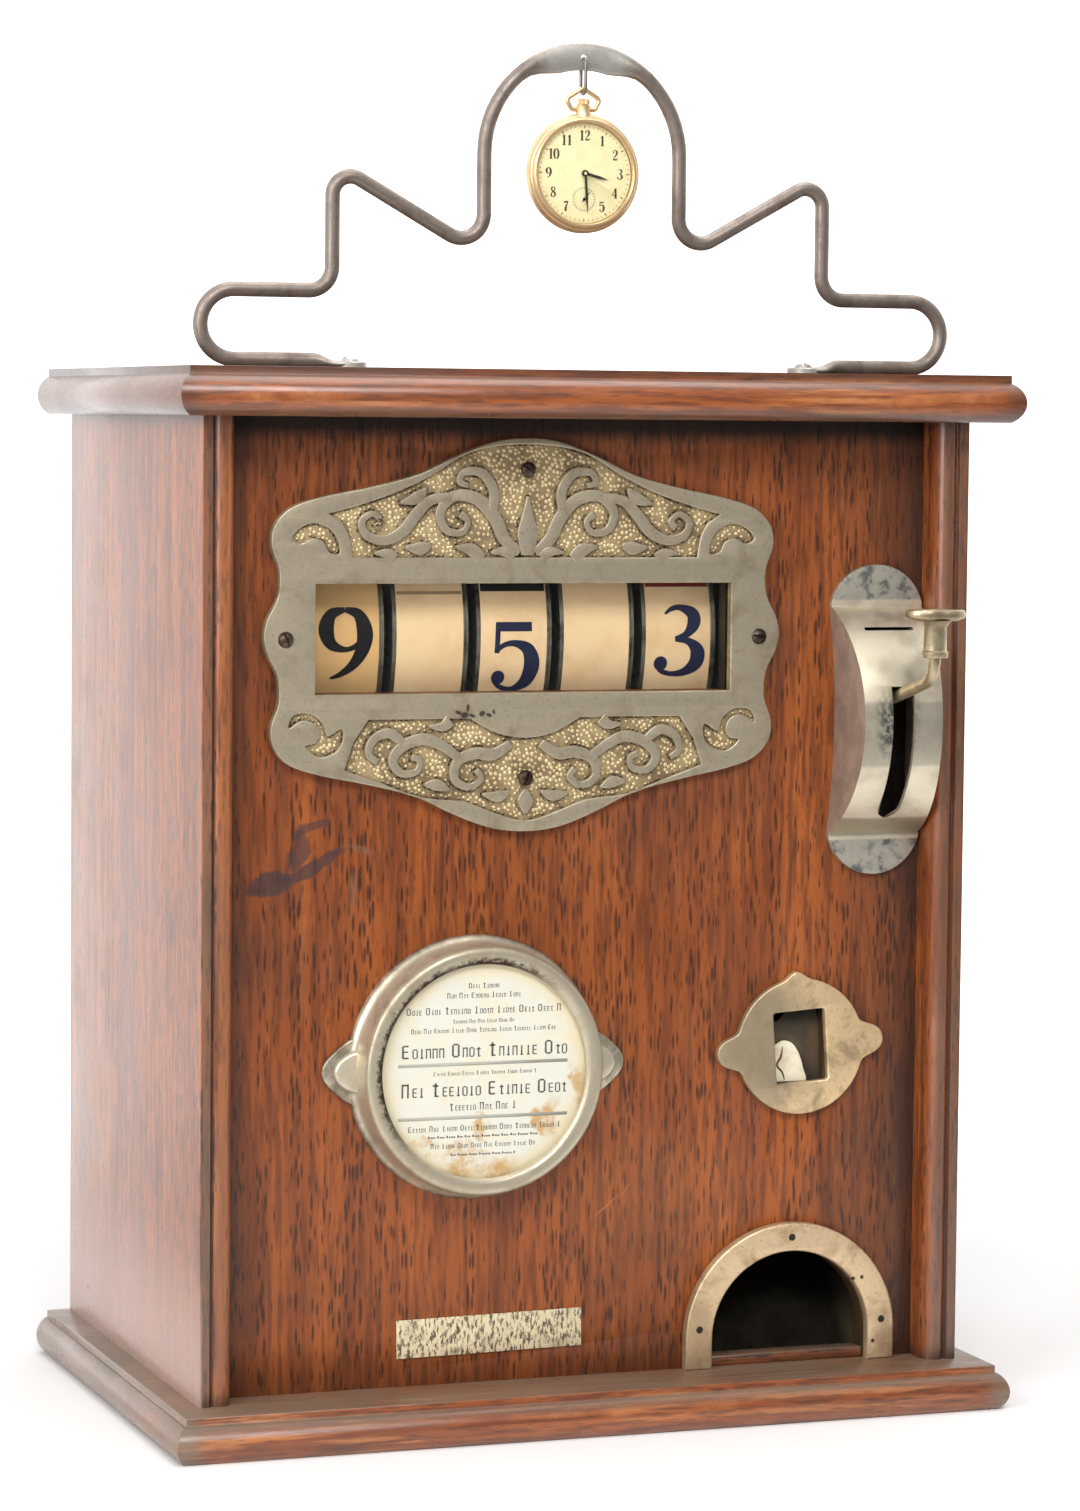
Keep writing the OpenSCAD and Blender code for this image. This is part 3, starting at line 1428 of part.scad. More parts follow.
module seconds_hand() {
    wheel_y = hanger_y - dial_seat + hand_gap;
    watch_hand(seconds_z, seconds_h, seconds_turn, seconds_len, seconds_tail, seconds_eye, 0, seconds_w);
    color("midnightblue") {
        rod_y(hanger_y - seconds_h - hand_t, wheel_y + seconds_wheel_t, 0, seconds_z, arbor_r);
        rod_y(wheel_y, wheel_y + seconds_wheel_t, 0, seconds_z, seconds_wheel_r);
    }
}

base_board();
lid_board();
left_side_board();
right_side_board();
front_panel();
mechanism_shelf();
back_door();
hinge_leaves_cabinet();
hinge_leaves_door();
hinge_pins();
door_lock();
lock_cam();
lock_strike();
number_plate();
number_plate_screws();
number_glass();
card_bezel();
card_glass();
award_card();
coin_view_plate();
payout_arch();
payout_nails();
payout_sill();
payout_chute();
small_plate();
lever_guide();
lever_brackets();
lever_shaft();
lever_arm();
thumb_piece();
lever_spring();
drive_link();
kicker_shaft();
kicker_fingers();
kicker_cranks();
vend_pusher();
pack_magazine();
coin_chute();
cash_box();
reel_frame_left();
reel_frame_right();
reel_shaft();
reel_spacers();
reel_brakes();
reel(1);  // reel_1
reel(2);  // reel_2
reel(3);  // reel_3
reel(4);  // reel_4
reel(5);  // reel_5
watch_hanger();
hanger_screws();
watch_link();
watch_bow();
watch_case();
watch_crown();
watch_dial();
watch_crystal();
hour_hand();
minute_hand();
seconds_hand();
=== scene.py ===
# A counter-top trade stimulator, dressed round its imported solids. Metres, front towards -Y, up +Z.
import math

import bmesh
import bpy
from mathutils import Matrix, Vector, kdtree


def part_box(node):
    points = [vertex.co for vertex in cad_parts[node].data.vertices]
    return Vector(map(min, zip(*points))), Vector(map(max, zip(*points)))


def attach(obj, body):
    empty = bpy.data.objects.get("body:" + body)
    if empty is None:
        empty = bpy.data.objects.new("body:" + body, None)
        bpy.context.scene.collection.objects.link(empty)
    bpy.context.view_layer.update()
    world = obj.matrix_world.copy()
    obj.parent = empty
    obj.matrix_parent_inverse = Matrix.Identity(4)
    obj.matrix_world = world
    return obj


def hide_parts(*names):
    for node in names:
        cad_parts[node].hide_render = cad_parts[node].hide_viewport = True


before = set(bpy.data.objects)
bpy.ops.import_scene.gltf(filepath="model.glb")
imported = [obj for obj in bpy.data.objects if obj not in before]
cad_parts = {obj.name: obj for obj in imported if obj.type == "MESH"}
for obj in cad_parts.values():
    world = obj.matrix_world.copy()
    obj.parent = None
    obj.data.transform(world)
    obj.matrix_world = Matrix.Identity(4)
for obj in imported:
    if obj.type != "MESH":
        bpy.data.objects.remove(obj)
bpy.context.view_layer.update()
scene = bpy.context.scene
scene.view_settings.view_transform = "Standard"


# Camera
# The photograph's view: a long lens, held left of the middle and a little below the lid, looking
# slightly down.
def add_object(name, data):
    made = bpy.data.objects.new(name, data)
    scene.collection.objects.link(made)
    return made


CAMERA_PLACE = Vector((-0.5963, -1.6997, 0.3806))
CAMERA_YAW = math.radians(-19.7407)
CAMERA_PITCH = math.radians(-4.205)
CAMERA_ROLL = math.radians(0.5469)
forward = Vector((-math.sin(CAMERA_YAW) * math.cos(CAMERA_PITCH),
                  math.cos(CAMERA_YAW) * math.cos(CAMERA_PITCH), math.sin(CAMERA_PITCH)))
level = Vector((math.cos(CAMERA_YAW), math.sin(CAMERA_YAW), 0))
upright = level.cross(forward)
right = math.cos(CAMERA_ROLL) * level + math.sin(CAMERA_ROLL) * upright
up = -math.sin(CAMERA_ROLL) * level + math.cos(CAMERA_ROLL) * upright
lens = bpy.data.cameras.new("camera")
lens.sensor_width = 36
lens.lens = 108.82
camera = add_object("camera", lens)
camera.matrix_world = Matrix.Translation(CAMERA_PLACE) @ Matrix((right, up, -forward)).transposed().to_4x4()
scene.camera = camera


# Studio
# A pale floor that turns white with distance, three soft lamps, and a white room that is dimmer
# on the camera's side, so that bright metal has something to reflect.
def feed(tree, socket, value):
    if isinstance(value, bpy.types.NodeSocket):
        tree.links.new(value, socket)
    else:
        socket.default_value = value


# An input is given by its label, with an underscore for each space
def set_inputs(tree, made, **inputs):
    for label, value in inputs.items():
        feed(tree, made.inputs[label.replace("_", " ")], value)


def node(tree, kind, settings=None, **inputs):
    made = tree.nodes.new(kind)
    for key, value in (settings or {}).items():
        setattr(made, key, value)
    set_inputs(tree, made, **inputs)
    return made


def calc(tree, operation, a, b=0.0):
    made = node(tree, "ShaderNodeMath", {"operation": operation})
    feed(tree, made.inputs[0], a)
    feed(tree, made.inputs[1], b)
    return made.outputs[0]


def times(tree, a, b):
    return calc(tree, "MULTIPLY", a, b)


def vector_calc(tree, operation, *values):
    made = node(tree, "ShaderNodeVectorMath", {"operation": operation})
    for socket, value in zip(made.inputs, values):
        feed(tree, socket, value)
    return made.outputs["Value" if operation == "LENGTH" else "Vector"]


def xyz_of(tree, vector):
    return node(tree, "ShaderNodeSeparateXYZ", Vector=vector).outputs


# A value between start and end becomes one between low and high, softly at both ends
def spread(tree, value, start, end, low=0.0, high=1.0):
    made = node(tree, "ShaderNodeMapRange", {"interpolation_type": "SMOOTHSTEP"}, Value=value,
                From_Min=start, From_Max=end, To_Min=low, To_Max=high)
    return made.outputs[0]


def blend(tree, share, first, second):
    made = node(tree, "ShaderNodeMix", {"data_type": "RGBA"})
    feed(tree, made.inputs[0], share)
    feed(tree, made.inputs[6], first)
    feed(tree, made.inputs[7], second)
    return made.outputs[2]


def new_material(name):
    material = bpy.data.materials.new(name)
    material.use_nodes = True
    tree = material.node_tree
    return material, tree, tree.nodes["Principled BSDF"]


def mix_shaders(tree, share, first, second):
    mixed = node(tree, "ShaderNodeMixShader", Fac=share)
    tree.links.new(first.outputs[0], mixed.inputs[1])
    tree.links.new(second.outputs[0], mixed.inputs[2])
    tree.links.new(mixed.outputs[0], tree.nodes["Material Output"].inputs["Surface"])


def seen_directly(tree):
    path = node(tree, "ShaderNodeLightPath").outputs
    either = calc(tree, "MAXIMUM", path["Is Camera Ray"], path["Is Glossy Ray"])
    return calc(tree, "MAXIMUM", either, path["Is Transmission Ray"])


def soft_lamp(name, place, target, size, watts):
    lamp = bpy.data.lights.new(name, "AREA")
    lamp.shape = "RECTANGLE"
    lamp.size, lamp.size_y = size
    lamp.energy = watts
    aim = (Vector(target) - Vector(place)).to_track_quat("-Z", "Y")
    add_object(name, lamp).matrix_world = Matrix.Translation(place) @ aim.to_matrix().to_4x4()


OBJECT_MIDDLE = (0, 0, 0.24)
soft_lamp("left_softbox", (-1.5, -1.1, 0.9), OBJECT_MIDDLE, (1.0, 1.4), 25)
soft_lamp("front_softbox", (-0.35, -1.9, 1.7), OBJECT_MIDDLE, (1.2, 0.8), 33)
soft_lamp("top_softbox", (0.2, 0.1, 1.9), OBJECT_MIDDLE, (1.4, 1.2), 16)
BACK_SIDE = 1.7


# Brighter behind the object than in front of it, and never less than white to the camera itself
def studio_white(tree, toward_back, front, start, end):
    shade = spread(tree, toward_back, start, end, front, BACK_SIDE)
    return calc(tree, "MAXIMUM", shade, node(tree, "ShaderNodeLightPath").outputs["Is Camera Ray"])


ROOM_LIGHT = (0.55, 0.55, 0.55, 1)
ROOM_FRONT, ROOM_FROM, ROOM_TO = 0.22, -0.75, 0.5
room = bpy.data.worlds.new("room")
room.use_nodes = True
scene.world = room
tree = room.node_tree
facing = xyz_of(tree, node(tree, "ShaderNodeTexCoord").outputs["Generated"])
reflected = studio_white(tree, facing["Y"], ROOM_FRONT, ROOM_FROM, ROOM_TO)
set_inputs(tree, tree.nodes["Background"], Color=blend(tree, seen_directly(tree), ROOM_LIGHT, reflected))

FLOOR_HALF = 6.0
FLOOR_PALE = (0.86, 0.855, 0.85, 1)
FLOOR_FRONT, FLOOR_FROM, FLOOR_TO = 0.12, -1.2, 0.7
WHITE_FROM, WHITE_TO = 0.3, 0.75
floor_mesh = bpy.data.meshes.new("floor")
floor_mesh.from_pydata([(x * FLOOR_HALF, y * FLOOR_HALF, 0) for x, y in ((-1, -1), (1, -1), (1, 1), (-1, 1))],
                       [], [(0, 1, 2, 3)])
pale, tree, sheet = new_material("pale_floor")
set_inputs(tree, sheet, Base_Color=FLOOR_PALE, Roughness=0.9, Specular_IOR_Level=0.1)
floor_place = node(tree, "ShaderNodeTexCoord").outputs["Object"]
fade = spread(tree, vector_calc(tree, "LENGTH", floor_place), WHITE_FROM, WHITE_TO)
white = studio_white(tree, xyz_of(tree, floor_place)["Y"], FLOOR_FRONT, FLOOR_FROM, FLOOR_TO)
glow = node(tree, "ShaderNodeEmission", Strength=white)
mix_shaders(tree, times(tree, fade, seen_directly(tree)), sheet, glow)
floor_mesh.materials.append(pale)
add_object("floor", floor_mesh)


# Cabinet
# Boards of red-brown varnished oak: two sides, a panel let in between them, and a base and a lid with
# a bull-nosed edge. They are glued and nailed; grime and painted shade lie along the joints.
def shade_smooth(mesh, sharp_deg):
    mesh.polygons.foreach_set("use_smooth", [True] * len(mesh.polygons))
    mesh.set_sharp_from_angle(angle=math.radians(sharp_deg))


WELD_GAP = 1e-6
FLAT_ANGLE = math.radians(0.2)


def solid_copy(name, node_name):
    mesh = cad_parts[node_name].data.copy()
    mesh.name = name
    mesh.materials.clear()
    work = bmesh.new()
    work.from_mesh(mesh)
    bmesh.ops.remove_doubles(work, verts=work.verts, dist=WELD_GAP)
    bmesh.ops.dissolve_limit(work, angle_limit=FLAT_ANGLE, verts=work.verts, edges=work.edges)
    work.to_mesh(mesh)
    work.free()
    return add_object(name, mesh)


# The mesh of a piece, as its modifiers leave it
def mesh_now(piece):
    return bpy.data.meshes.new_from_object(piece.evaluated_get(bpy.context.evaluated_depsgraph_get()))


# What the modifiers give becomes the piece's own mesh, without empty material slots
def settle(piece):
    mesh = mesh_now(piece)
    while None in list(mesh.materials):
        mesh.materials.pop(index=list(mesh.materials).index(None))
    piece.modifiers.clear()
    piece.data = mesh
    return piece


def soften(piece, width, segments=2, sharp_deg=35, edge_material=-1):
    edge = piece.modifiers.new("soft_edges", "BEVEL")
    edge.width = width
    edge.segments = segments
    edge.limit_method = "ANGLE"
    edge.angle_limit = math.radians(sharp_deg)
    edge.use_clamp_overlap = True
    edge.material = edge_material
    shade_smooth(settle(piece).data, sharp_deg)
    return piece


# A new mesh becomes a piece, with its faces turned outwards
def close_work(name, work, sharp_deg=None):
    bmesh.ops.recalc_face_normals(work, faces=work.faces)
    mesh = bpy.data.meshes.new(name)
    work.to_mesh(mesh)
    work.free()
    if sharp_deg:
        shade_smooth(mesh, sharp_deg)
    return add_object(name, mesh)


# A piece that runs through rings of points and is closed at both ends
def loft(name, rings, sharp_deg=40):
    work = bmesh.new()
    rings = [[work.verts.new(point) for point in ring] for ring in rings]
    for low, high in zip(rings, rings[1:]):
        for k in range(len(low)):
            n = (k + 1) % len(low)
            work.faces.new((low[k], low[n], high[n], high[k]))
    work.faces.new(rings[0])
    work.faces.new(rings[-1])
    return close_work(name, work, sharp_deg)


def dress(piece, body, slot, materials, *replaced):
    for material in materials if isinstance(materials, (list, tuple)) else [materials]:
        piece.data.materials.append(material)
    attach(piece, body)
    if replaced:
        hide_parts(*replaced)
    return piece


def object_vector(tree, scale=(1, 1, 1), shift=(0, 0, 0)):
    place = node(tree, "ShaderNodeTexCoord").outputs["Object"]
    return node(tree, "ShaderNodeMapping", Vector=place, Scale=scale, Location=shift).outputs[0]


def noise(tree, vector, scale=1.0, detail=3.0, roughness=0.5, distortion=0.0):
    return node(tree, "ShaderNodeTexNoise", Vector=vector, Scale=scale, Detail=detail, Roughness=roughness,
                Distortion=distortion).outputs[0]


def bump(tree, height, distance, strength, under=None):
    made = node(tree, "ShaderNodeBump", Height=height, Distance=distance, Strength=strength)
    if under is not None:
        set_inputs(tree, made, Normal=under)
    return made.outputs[0]


def minus(tree, a, b):
    return calc(tree, "SUBTRACT", a, b)


def off_middle(tree, value, middle):
    return calc(tree, "ABSOLUTE", minus(tree, value, middle))


MM = 0.001
THROUGH = 1000


# A mark is an oval of another colour, in millimetres: colour, amount, middle and half sizes across and up,
# soft edge, turn in degrees, raggedness. It goes through from front to back unless y and half_y are given.
def mark(colour, amount, x, z, half_x, half_z, edge=0.3, turn=0, ragged=0, y=0, half_y=THROUGH):
    middle, half = Vector((x, y, z)) * MM, Vector((half_x, half_y, half_z)) * MM
    return middle, half, math.radians(turn), ragged * MM, edge, amount, colour


# How far a point is from the middle of a ragged oval, as a share of the oval's half sizes
def oval(tree, middle, half, turn, ragged):
    wavy = node(tree, "ShaderNodeTexNoise", Vector=object_vector(tree), Scale=70.0, Detail=4.0)
    drift = vector_calc(tree, "MULTIPLY_ADD", wavy.outputs["Color"], (ragged, ragged, ragged),
                        object_vector(tree, shift=[-m - ragged / 2 for m in middle]))
    squared = node(tree, "ShaderNodeMapping", {"vector_type": "TEXTURE"}, Vector=drift,
                   Rotation=(0, turn, 0), Scale=half)
    return vector_calc(tree, "LENGTH", squared.outputs[0])


def add_marks(tree, colour, marks):
    for middle, half, turn, ragged, edge, amount, mark_colour in marks:
        inside = spread(tree, oval(tree, middle, half, turn, ragged), 1.0, edge, 0.0, amount)
        colour = blend(tree, inside, colour, mark_colour)
    return colour


OAK_LIGHT = (0.310, 0.078, 0.012, 1)
OAK_MID = (0.195, 0.044, 0.007, 1)
OAK_DARK = (0.105, 0.026, 0.007, 1)
OAK_PORE = (0.040, 0.0115, 0.004, 1)
OAK_GRIME_AND_SHADE = (0.030, 0.014, 0.009, 1)
OAK_WORN = (0.44, 0.155, 0.045, 1)
OAK_DUST_AND_SHEEN = (0.150, 0.112, 0.078, 1)


# Oak with its grain along one axis: light and dark growth, fibres, rubbed streaks, and dark pores that lie
# in columns. The bands in dirt_and_painted_light lay grime, dust and wear, and painted shade and sheen:
# axis, middle, start and end of the band in metres from that middle, amount and colour.
def oak(name, axis, shift, dirt_and_painted_light=(), worn=0.0, dust=0.0, marks=(), pore=0.85, varnish=1.0):
    material, tree, shader = new_material(name)

    def grain(over, along):
        scale = [over, over, over]
        scale[axis] = along
        return object_vector(tree, scale, shift)

    growth = noise(tree, grain(45, 3), detail=4, distortion=0.8)
    fibre = noise(tree, grain(560, 48))
    columns = noise(tree, grain(240, 4), detail=1)
    pores = node(tree, "ShaderNodeTexVoronoi", Vector=grain(640, 105), Scale=1.0).outputs["Distance"]
    streak = noise(tree, grain(260, 12), detail=4, roughness=0.65)
    blotch = noise(tree, object_vector(tree, shift=shift), scale=14, detail=5, roughness=0.6)
    colour = blend(tree, spread(tree, growth, 0.32, 0.66), OAK_MID, OAK_LIGHT)
    colour = blend(tree, spread(tree, fibre, 0.42, 0.64, 0.0, 0.72), colour, OAK_DARK)
    rubbed = times(tree, spread(tree, streak, 0.5, 0.62), spread(tree, blotch, 0.4, 0.6, 0.0, worn))
    colour = blend(tree, rubbed, colour, OAK_WORN)
    wide = spread(tree, columns, 0.38, 0.62, 0.24, 0.47)
    deep = times(tree, minus(tree, wide, pores), 5.0)
    deep = node(tree, "ShaderNodeClamp", Value=deep).outputs[0]
    colour = blend(tree, times(tree, deep, pore), colour, OAK_PORE)
    colour = blend(tree, spread(tree, streak, 0.46, 0.28, 0.0, 0.5), colour, OAK_GRIME_AND_SHADE)
    colour = blend(tree, spread(tree, blotch, 0.5, 0.78, 0.0, 0.5), colour, OAK_GRIME_AND_SHADE)
    uneven = times(tree, calc(tree, "ADD", blotch, streak), 0.5)
    place = xyz_of(tree, object_vector(tree))
    for band_axis, middle, start, end, amount, band_colour in dirt_and_painted_light:
        laid = times(tree, spread(tree, off_middle(tree, place[band_axis], middle), start, end),
                        spread(tree, uneven, 0.3, 0.6, 0.45 * amount, amount))
        colour = blend(tree, laid, colour, band_colour)
    colour = add_marks(tree, colour, marks)
    upward = xyz_of(tree, node(tree, "ShaderNodeTexCoord").outputs["Normal"])["Z"]
    lying = times(tree, spread(tree, upward, 0.35, 0.95), spread(tree, uneven, 0.35, 0.6, 0.5 * dust, dust))
    colour = blend(tree, lying, colour, OAK_DUST_AND_SHEEN)
    relief = minus(tree, times(tree, fibre, 0.3), deep)
    set_inputs(tree, shader, Base_Color=colour, Roughness=0.5, Specular_IOR_Level=0.2, Coat_IOR=1.6,
               Coat_Weight=times(tree, minus(tree, 1.0, lying), varnish),
               Coat_Roughness=spread(tree, blotch, 0.3, 0.7, 0.2, 0.36),
               Normal=bump(tree, relief, 0.2 * MM, 0.5))
    return material


X, Y, Z = 0, 1, 2
_, base_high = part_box("base_board")
lid_low, lid_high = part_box("lid_board")
panel_low, panel_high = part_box("front_panel")
side_low, side_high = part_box("right_side_board")
panel_mid_z = (panel_low.z + panel_high.z) / 2
panel_half_x = panel_high.x
panel_half_z = (panel_high.z - panel_low.z) / 2
INK = (0.044, 0.026, 0.026, 1)
SCUFF = (0.16, 0.075, 0.05, 1)
OAK_PAINTED_SHADE = (0.004, 0.003, 0.002, 1)
OLIVE_PAINTED_SHADE = (0.040, 0.028, 0.013, 1)
# On the panel: broad changes of tone, ink stains, scuffs, scratches, painted shade under the lid, and painted
# shade on the cut edges behind the number plate, the coin view, the payout and the lever guide
PANEL_MARKS = [
    mark(OAK_GRIME_AND_SHADE, 0.13, -24, 300, 130, 100, 0.8, ragged=30),
    mark(OAK_DARK, 0.28, 5, 195, 110, 55, 0.2, ragged=20),
    mark(OAK_WORN, 0.14, 30, 85, 50, 35, 0.2, ragged=20),
    mark(INK, 0.8, -121.5, 208, 10.5, 5.2, 0.72, -12, 13),
    mark(INK, 0.78, -106.5, 214, 16.5, 3.2, 0.65, -24, 10),
    mark(INK, 0.7, -112, 221.5, 5, 8.5, 0.6, 10, 14),
    mark(INK, 0.65, -106, 229, 10.5, 2.6, 0.6, -22, 11),
    mark(SCUFF, 0.5, -90, 206, 1.8, 9.5, 0.4, 0, 3),
    mark(SCUFF, 0.5, -88, 220.5, 8, 2, 0.4, 15, 6),
    mark(OAK_WORN, 0.6, 12, 82, 9, 0.4, 0.4, -38, 1),
    mark(OAK_WORN, 0.5, 19, 87, 6, 0.3, 0.4, -52, 1),
    mark(OAK_PAINTED_SHADE, 0.92, 0, panel_high.z / MM, THROUGH, 11, ragged=2),
    mark(OAK_PAINTED_SHADE, 0.97, 61, 299, 6.5, 40, 0.95),
    mark(OLIVE_PAINTED_SHADE, 0.95, 90, 140.5, 21, 21, 0.95),
    mark(OLIVE_PAINTED_SHADE, 0.9, 86.7, 28.6, 40, 40, 0.95),
    mark(OAK_PAINTED_SHADE, 0.98, 121.5, 266.4, 17, 56, 0.9),
]
# Darker along both stiles and broadly towards the right: painted shade in the recess, with grime. Darker
# towards the top: painted shade under the lid, with grime. Darker towards the foot.
panel_grime_and_shade = [(X, 0, panel_half_x - 0.012, panel_half_x - 0.001, 0.8, OAK_GRIME_AND_SHADE),
              (X, -panel_half_x, panel_half_x * 2 - 0.060, panel_half_x * 2, 0.75, OAK_GRIME_AND_SHADE),
              (Z, panel_low.z, panel_half_z * 2 - 0.040, panel_half_z * 2, 0.3, OAK_GRIME_AND_SHADE),
              (Z, panel_high.z, panel_half_z * 2 - 0.022, panel_half_z * 2, 0.6, OAK_GRIME_AND_SHADE)]
lid_mid_z = (lid_low.z + lid_high.z) / 2
lid_half_z = (lid_high.z - lid_low.z) / 2
nose_dirt = [(X, 0, lid_high.x - 0.012, lid_high.x - 0.003, 0.6, OAK_GRIME_AND_SHADE),
             (Z, lid_mid_z, lid_half_z - 0.0055, lid_half_z - 0.001, 0.75, OAK_GRIME_AND_SHADE)]
dusty_end = [(X, 0, base_high.x - 0.012, base_high.x - 0.004, 0.75, OAK_DUST_AND_SHEEN)]
# The whole sill lies past the end of this band, so it is dirty all over
sill_dirt = [(Y, 1, 0, 1, 0.6, OAK_GRIME_AND_SHADE)]
BOARDS = {
    "base_board": oak("oak_base", X, (0.3, 0.1, 0.7), dusty_end, worn=0.9, dust=0.9, pore=0.4),
    "lid_board": oak("oak_lid", X, (0.9, 0.5, 0.2), nose_dirt, worn=1.0, dust=0.35, pore=0.35),
    "front_panel": oak("oak_panel", Z, (0.0, 0.0, 0.0), panel_grime_and_shade, worn=0.15, marks=PANEL_MARKS,
                       varnish=0.3),
    "payout_sill": oak("oak_sill", X, (0.2, 0.6, 0.1), sill_dirt, worn=0.3, dust=0.8),
}
EDGE_WEAR = 0.7 * MM
for board, wood in BOARDS.items():
    dress(soften(solid_copy("oak_" + board, board), EDGE_WEAR), "cabinet", "oak", wood, board)

# Side boards: a quirk and a bead run along the front edge, rounded over towards the panel. The left one has
# painted sheen at its foot.
SIDE_IN, SIDE_OUT = side_low.x / MM, side_high.x / MM
SIDE_FRONT, SIDE_BACK = side_low.y / MM, side_high.y / MM
MOULDING = [(0, 6.0), (0.15, 4.6), (0.6, 3.2), (1.4, 1.8), (2.6, 0.7), (4.0, 0.1), (5.2, 0), (6.4, 0.25),
            (7.4, 0.9), (7.9, 1.5), (8.3, 1.6), (8.7, 1.3), (8.9, 0.5), (9.3, 0), (12.3, 0), (12.8, 0.2),
            (13, 0.7)]
QUIRK, RIDGE, FILLET = 0.1479, 0.1440, 0.1502
OAK_PAINTED_SHEEN = (0.42, 0.27, 0.225, 1)
side_plan = [(SIDE_IN + inset, SIDE_FRONT + back) for inset, back in MOULDING]
side_plan += [(SIDE_OUT, SIDE_BACK - 0.5), (SIDE_OUT - 0.5, SIDE_BACK), (SIDE_IN, SIDE_BACK)]
# Along the front edge: grime and painted shade in the quirk, wear on the left ridge, and painted sheen in the
# dust colour on the right ridge and both fillets. Grime at the back edge, painted shade under the lid, and a
# darker line at the foot.
side_wear_and_painted_light = [(X, side * QUIRK, 0.0010, 0.0004, 0.9, OAK_GRIME_AND_SHADE) for side in (-1, 1)]
side_wear_and_painted_light += [(X, -RIDGE, 0.0026, 0.0012, 0.45, OAK_WORN), (X, RIDGE, 0.0026, 0.0012, 0.45, OAK_DUST_AND_SHEEN)]
side_wear_and_painted_light += [(X, side * FILLET, 0.0022, 0.0010, 0.5, OAK_DUST_AND_SHEEN) for side in (-1, 1)]
side_wear_and_painted_light += [(Y, 0, side_high.y - 0.0008, side_high.y, 0.3, OAK_GRIME_AND_SHADE),
              (Z, panel_mid_z, panel_half_z - 0.006, panel_half_z, 0.7, OAK_GRIME_AND_SHADE)]
# Painted sheen over the foot of the left side, and a nail hole
LEFT_MARKS = [mark(OAK_PAINTED_SHEEN, 0.75, -SIDE_OUT, base_high.z / MM, 1.5, 70, 0.15),
              mark(OAK_PORE, 0.95, -SIDE_OUT, 31.4, THROUGH, 1.2, 0.7, y=68.6, half_y=1.2)]
side_woods = {1: oak("oak_right", Z, (0.6, 0.3, 0.9), side_wear_and_painted_light, worn=0.5),
              -1: oak("oak_left", Z, (0.1, 0.8, 0.4), side_wear_and_painted_light, worn=0.5, marks=LEFT_MARKS)}
for side, board in ((1, "right_side_board"), (-1, "left_side_board")):
    rings = [[(side * x * MM, y * MM, z) for x, y in side_plan] for z in (side_low.z, side_high.z)]
    dress(loft("oak_" + board, rings), "cabinet", "oak", side_woods[side], board)


# Number plate
# A cast white-metal plate, its rim, band and scrolls left flat and grey over a sunk ground that is
# stippled and pale gold. Four round-headed screws hold it over a pane let into the panel.
def smooth(points, steps=6, closed=False):
    count = len(points)
    line = []
    for i in range(count if closed else count - 1):
        around = [i + k if closed else min(max(i + k, 0), count - 1) for k in (-1, 0, 1, 2)]
        near = [points[k % count] for k in around]
        for k in range(steps):
            t = k / steps
            line.append(tuple(0.5 * (2 * b + (c - a) * t + (2 * a - 5 * b + 4 * c - d) * t * t
                                     + (3 * b - a - 3 * c + d) * t * t * t) for a, b, c, d in zip(*near)))
    return line if closed else line + [tuple(points[-1])]


# The outline of a line whose points give place across, place up and width
def stroke(points, steps=6):
    line = smooth(points, steps)
    left, right = [], []
    for i, (x, z, wide) in enumerate(line):
        ahead, behind = line[min(i + 1, len(line) - 1)], line[max(i - 1, 0)]
        dx, dz = ahead[0] - behind[0], ahead[1] - behind[1]
        half = wide / 2 / math.hypot(dx, dz)
        left.append((x - dz * half, z + dx * half))
        right.append((x + dz * half, z - dx * half))
    return left + right[::-1]


def weld(mesh):
    work = bmesh.new()
    work.from_mesh(mesh)
    bmesh.ops.remove_doubles(work, verts=work.verts, dist=WELD_GAP)
    bmesh.ops.recalc_face_normals(work, faces=work.faces)
    work.to_mesh(mesh)
    work.free()


# A flat piece from outlines in millimetres round a middle in X and Z, with rounded front edges
def plan_solid(name, loops, middle, back, front, edge, turn=0.0):
    plan = bpy.data.curves.new(name, "CURVE")
    plan.dimensions = "2D"
    plan.fill_mode = "BOTH"
    plan.extrude = (back - front) / 2 - edge
    plan.bevel_depth = edge
    plan.bevel_resolution = 2
    plan.offset = -edge
    for loop in loops:
        spline = plan.splines.new("POLY")
        spline.points.add(len(loop) - 1)
        spline.use_cyclic_u = True
        for point, (x, z) in zip(spline.points, loop):
            point.co = (x * MM, z * MM, 0, 1)
    holder = add_object(name, plan)
    mesh = mesh_now(holder)
    bpy.data.objects.remove(holder)
    mesh.transform(Matrix.Translation((middle[0], (front + back) / 2, middle[1]))
                   @ Matrix.Rotation(turn, 4, "Y") @ Matrix.Rotation(math.radians(90), 4, "X"))
    weld(mesh)
    mesh.name = name
    shade_smooth(mesh, 40)
    return add_object(name, mesh)


def join(name, pieces):
    work = bmesh.new()
    for piece in pieces:
        work.from_mesh(piece.data)
        bpy.data.objects.remove(piece)
    mesh = bpy.data.meshes.new(name)
    work.to_mesh(mesh)
    work.free()
    mesh.set_sharp_from_angle(angle=math.radians(40))
    return add_object(name, mesh)


# Geometry Nodes: a group with named inputs, run on a piece with those inputs set
def new_tree(name, inputs):
    tree = bpy.data.node_groups.new(name, "GeometryNodeTree")
    tree.interface.new_socket("Geometry", in_out="INPUT", socket_type="NodeSocketGeometry")
    for label, kind in inputs.items():
        tree.interface.new_socket(label, in_out="INPUT", socket_type="NodeSocket" + kind)
    tree.interface.new_socket("Geometry", in_out="OUTPUT", socket_type="NodeSocketGeometry")
    return tree, tree.nodes.new("NodeGroupInput").outputs


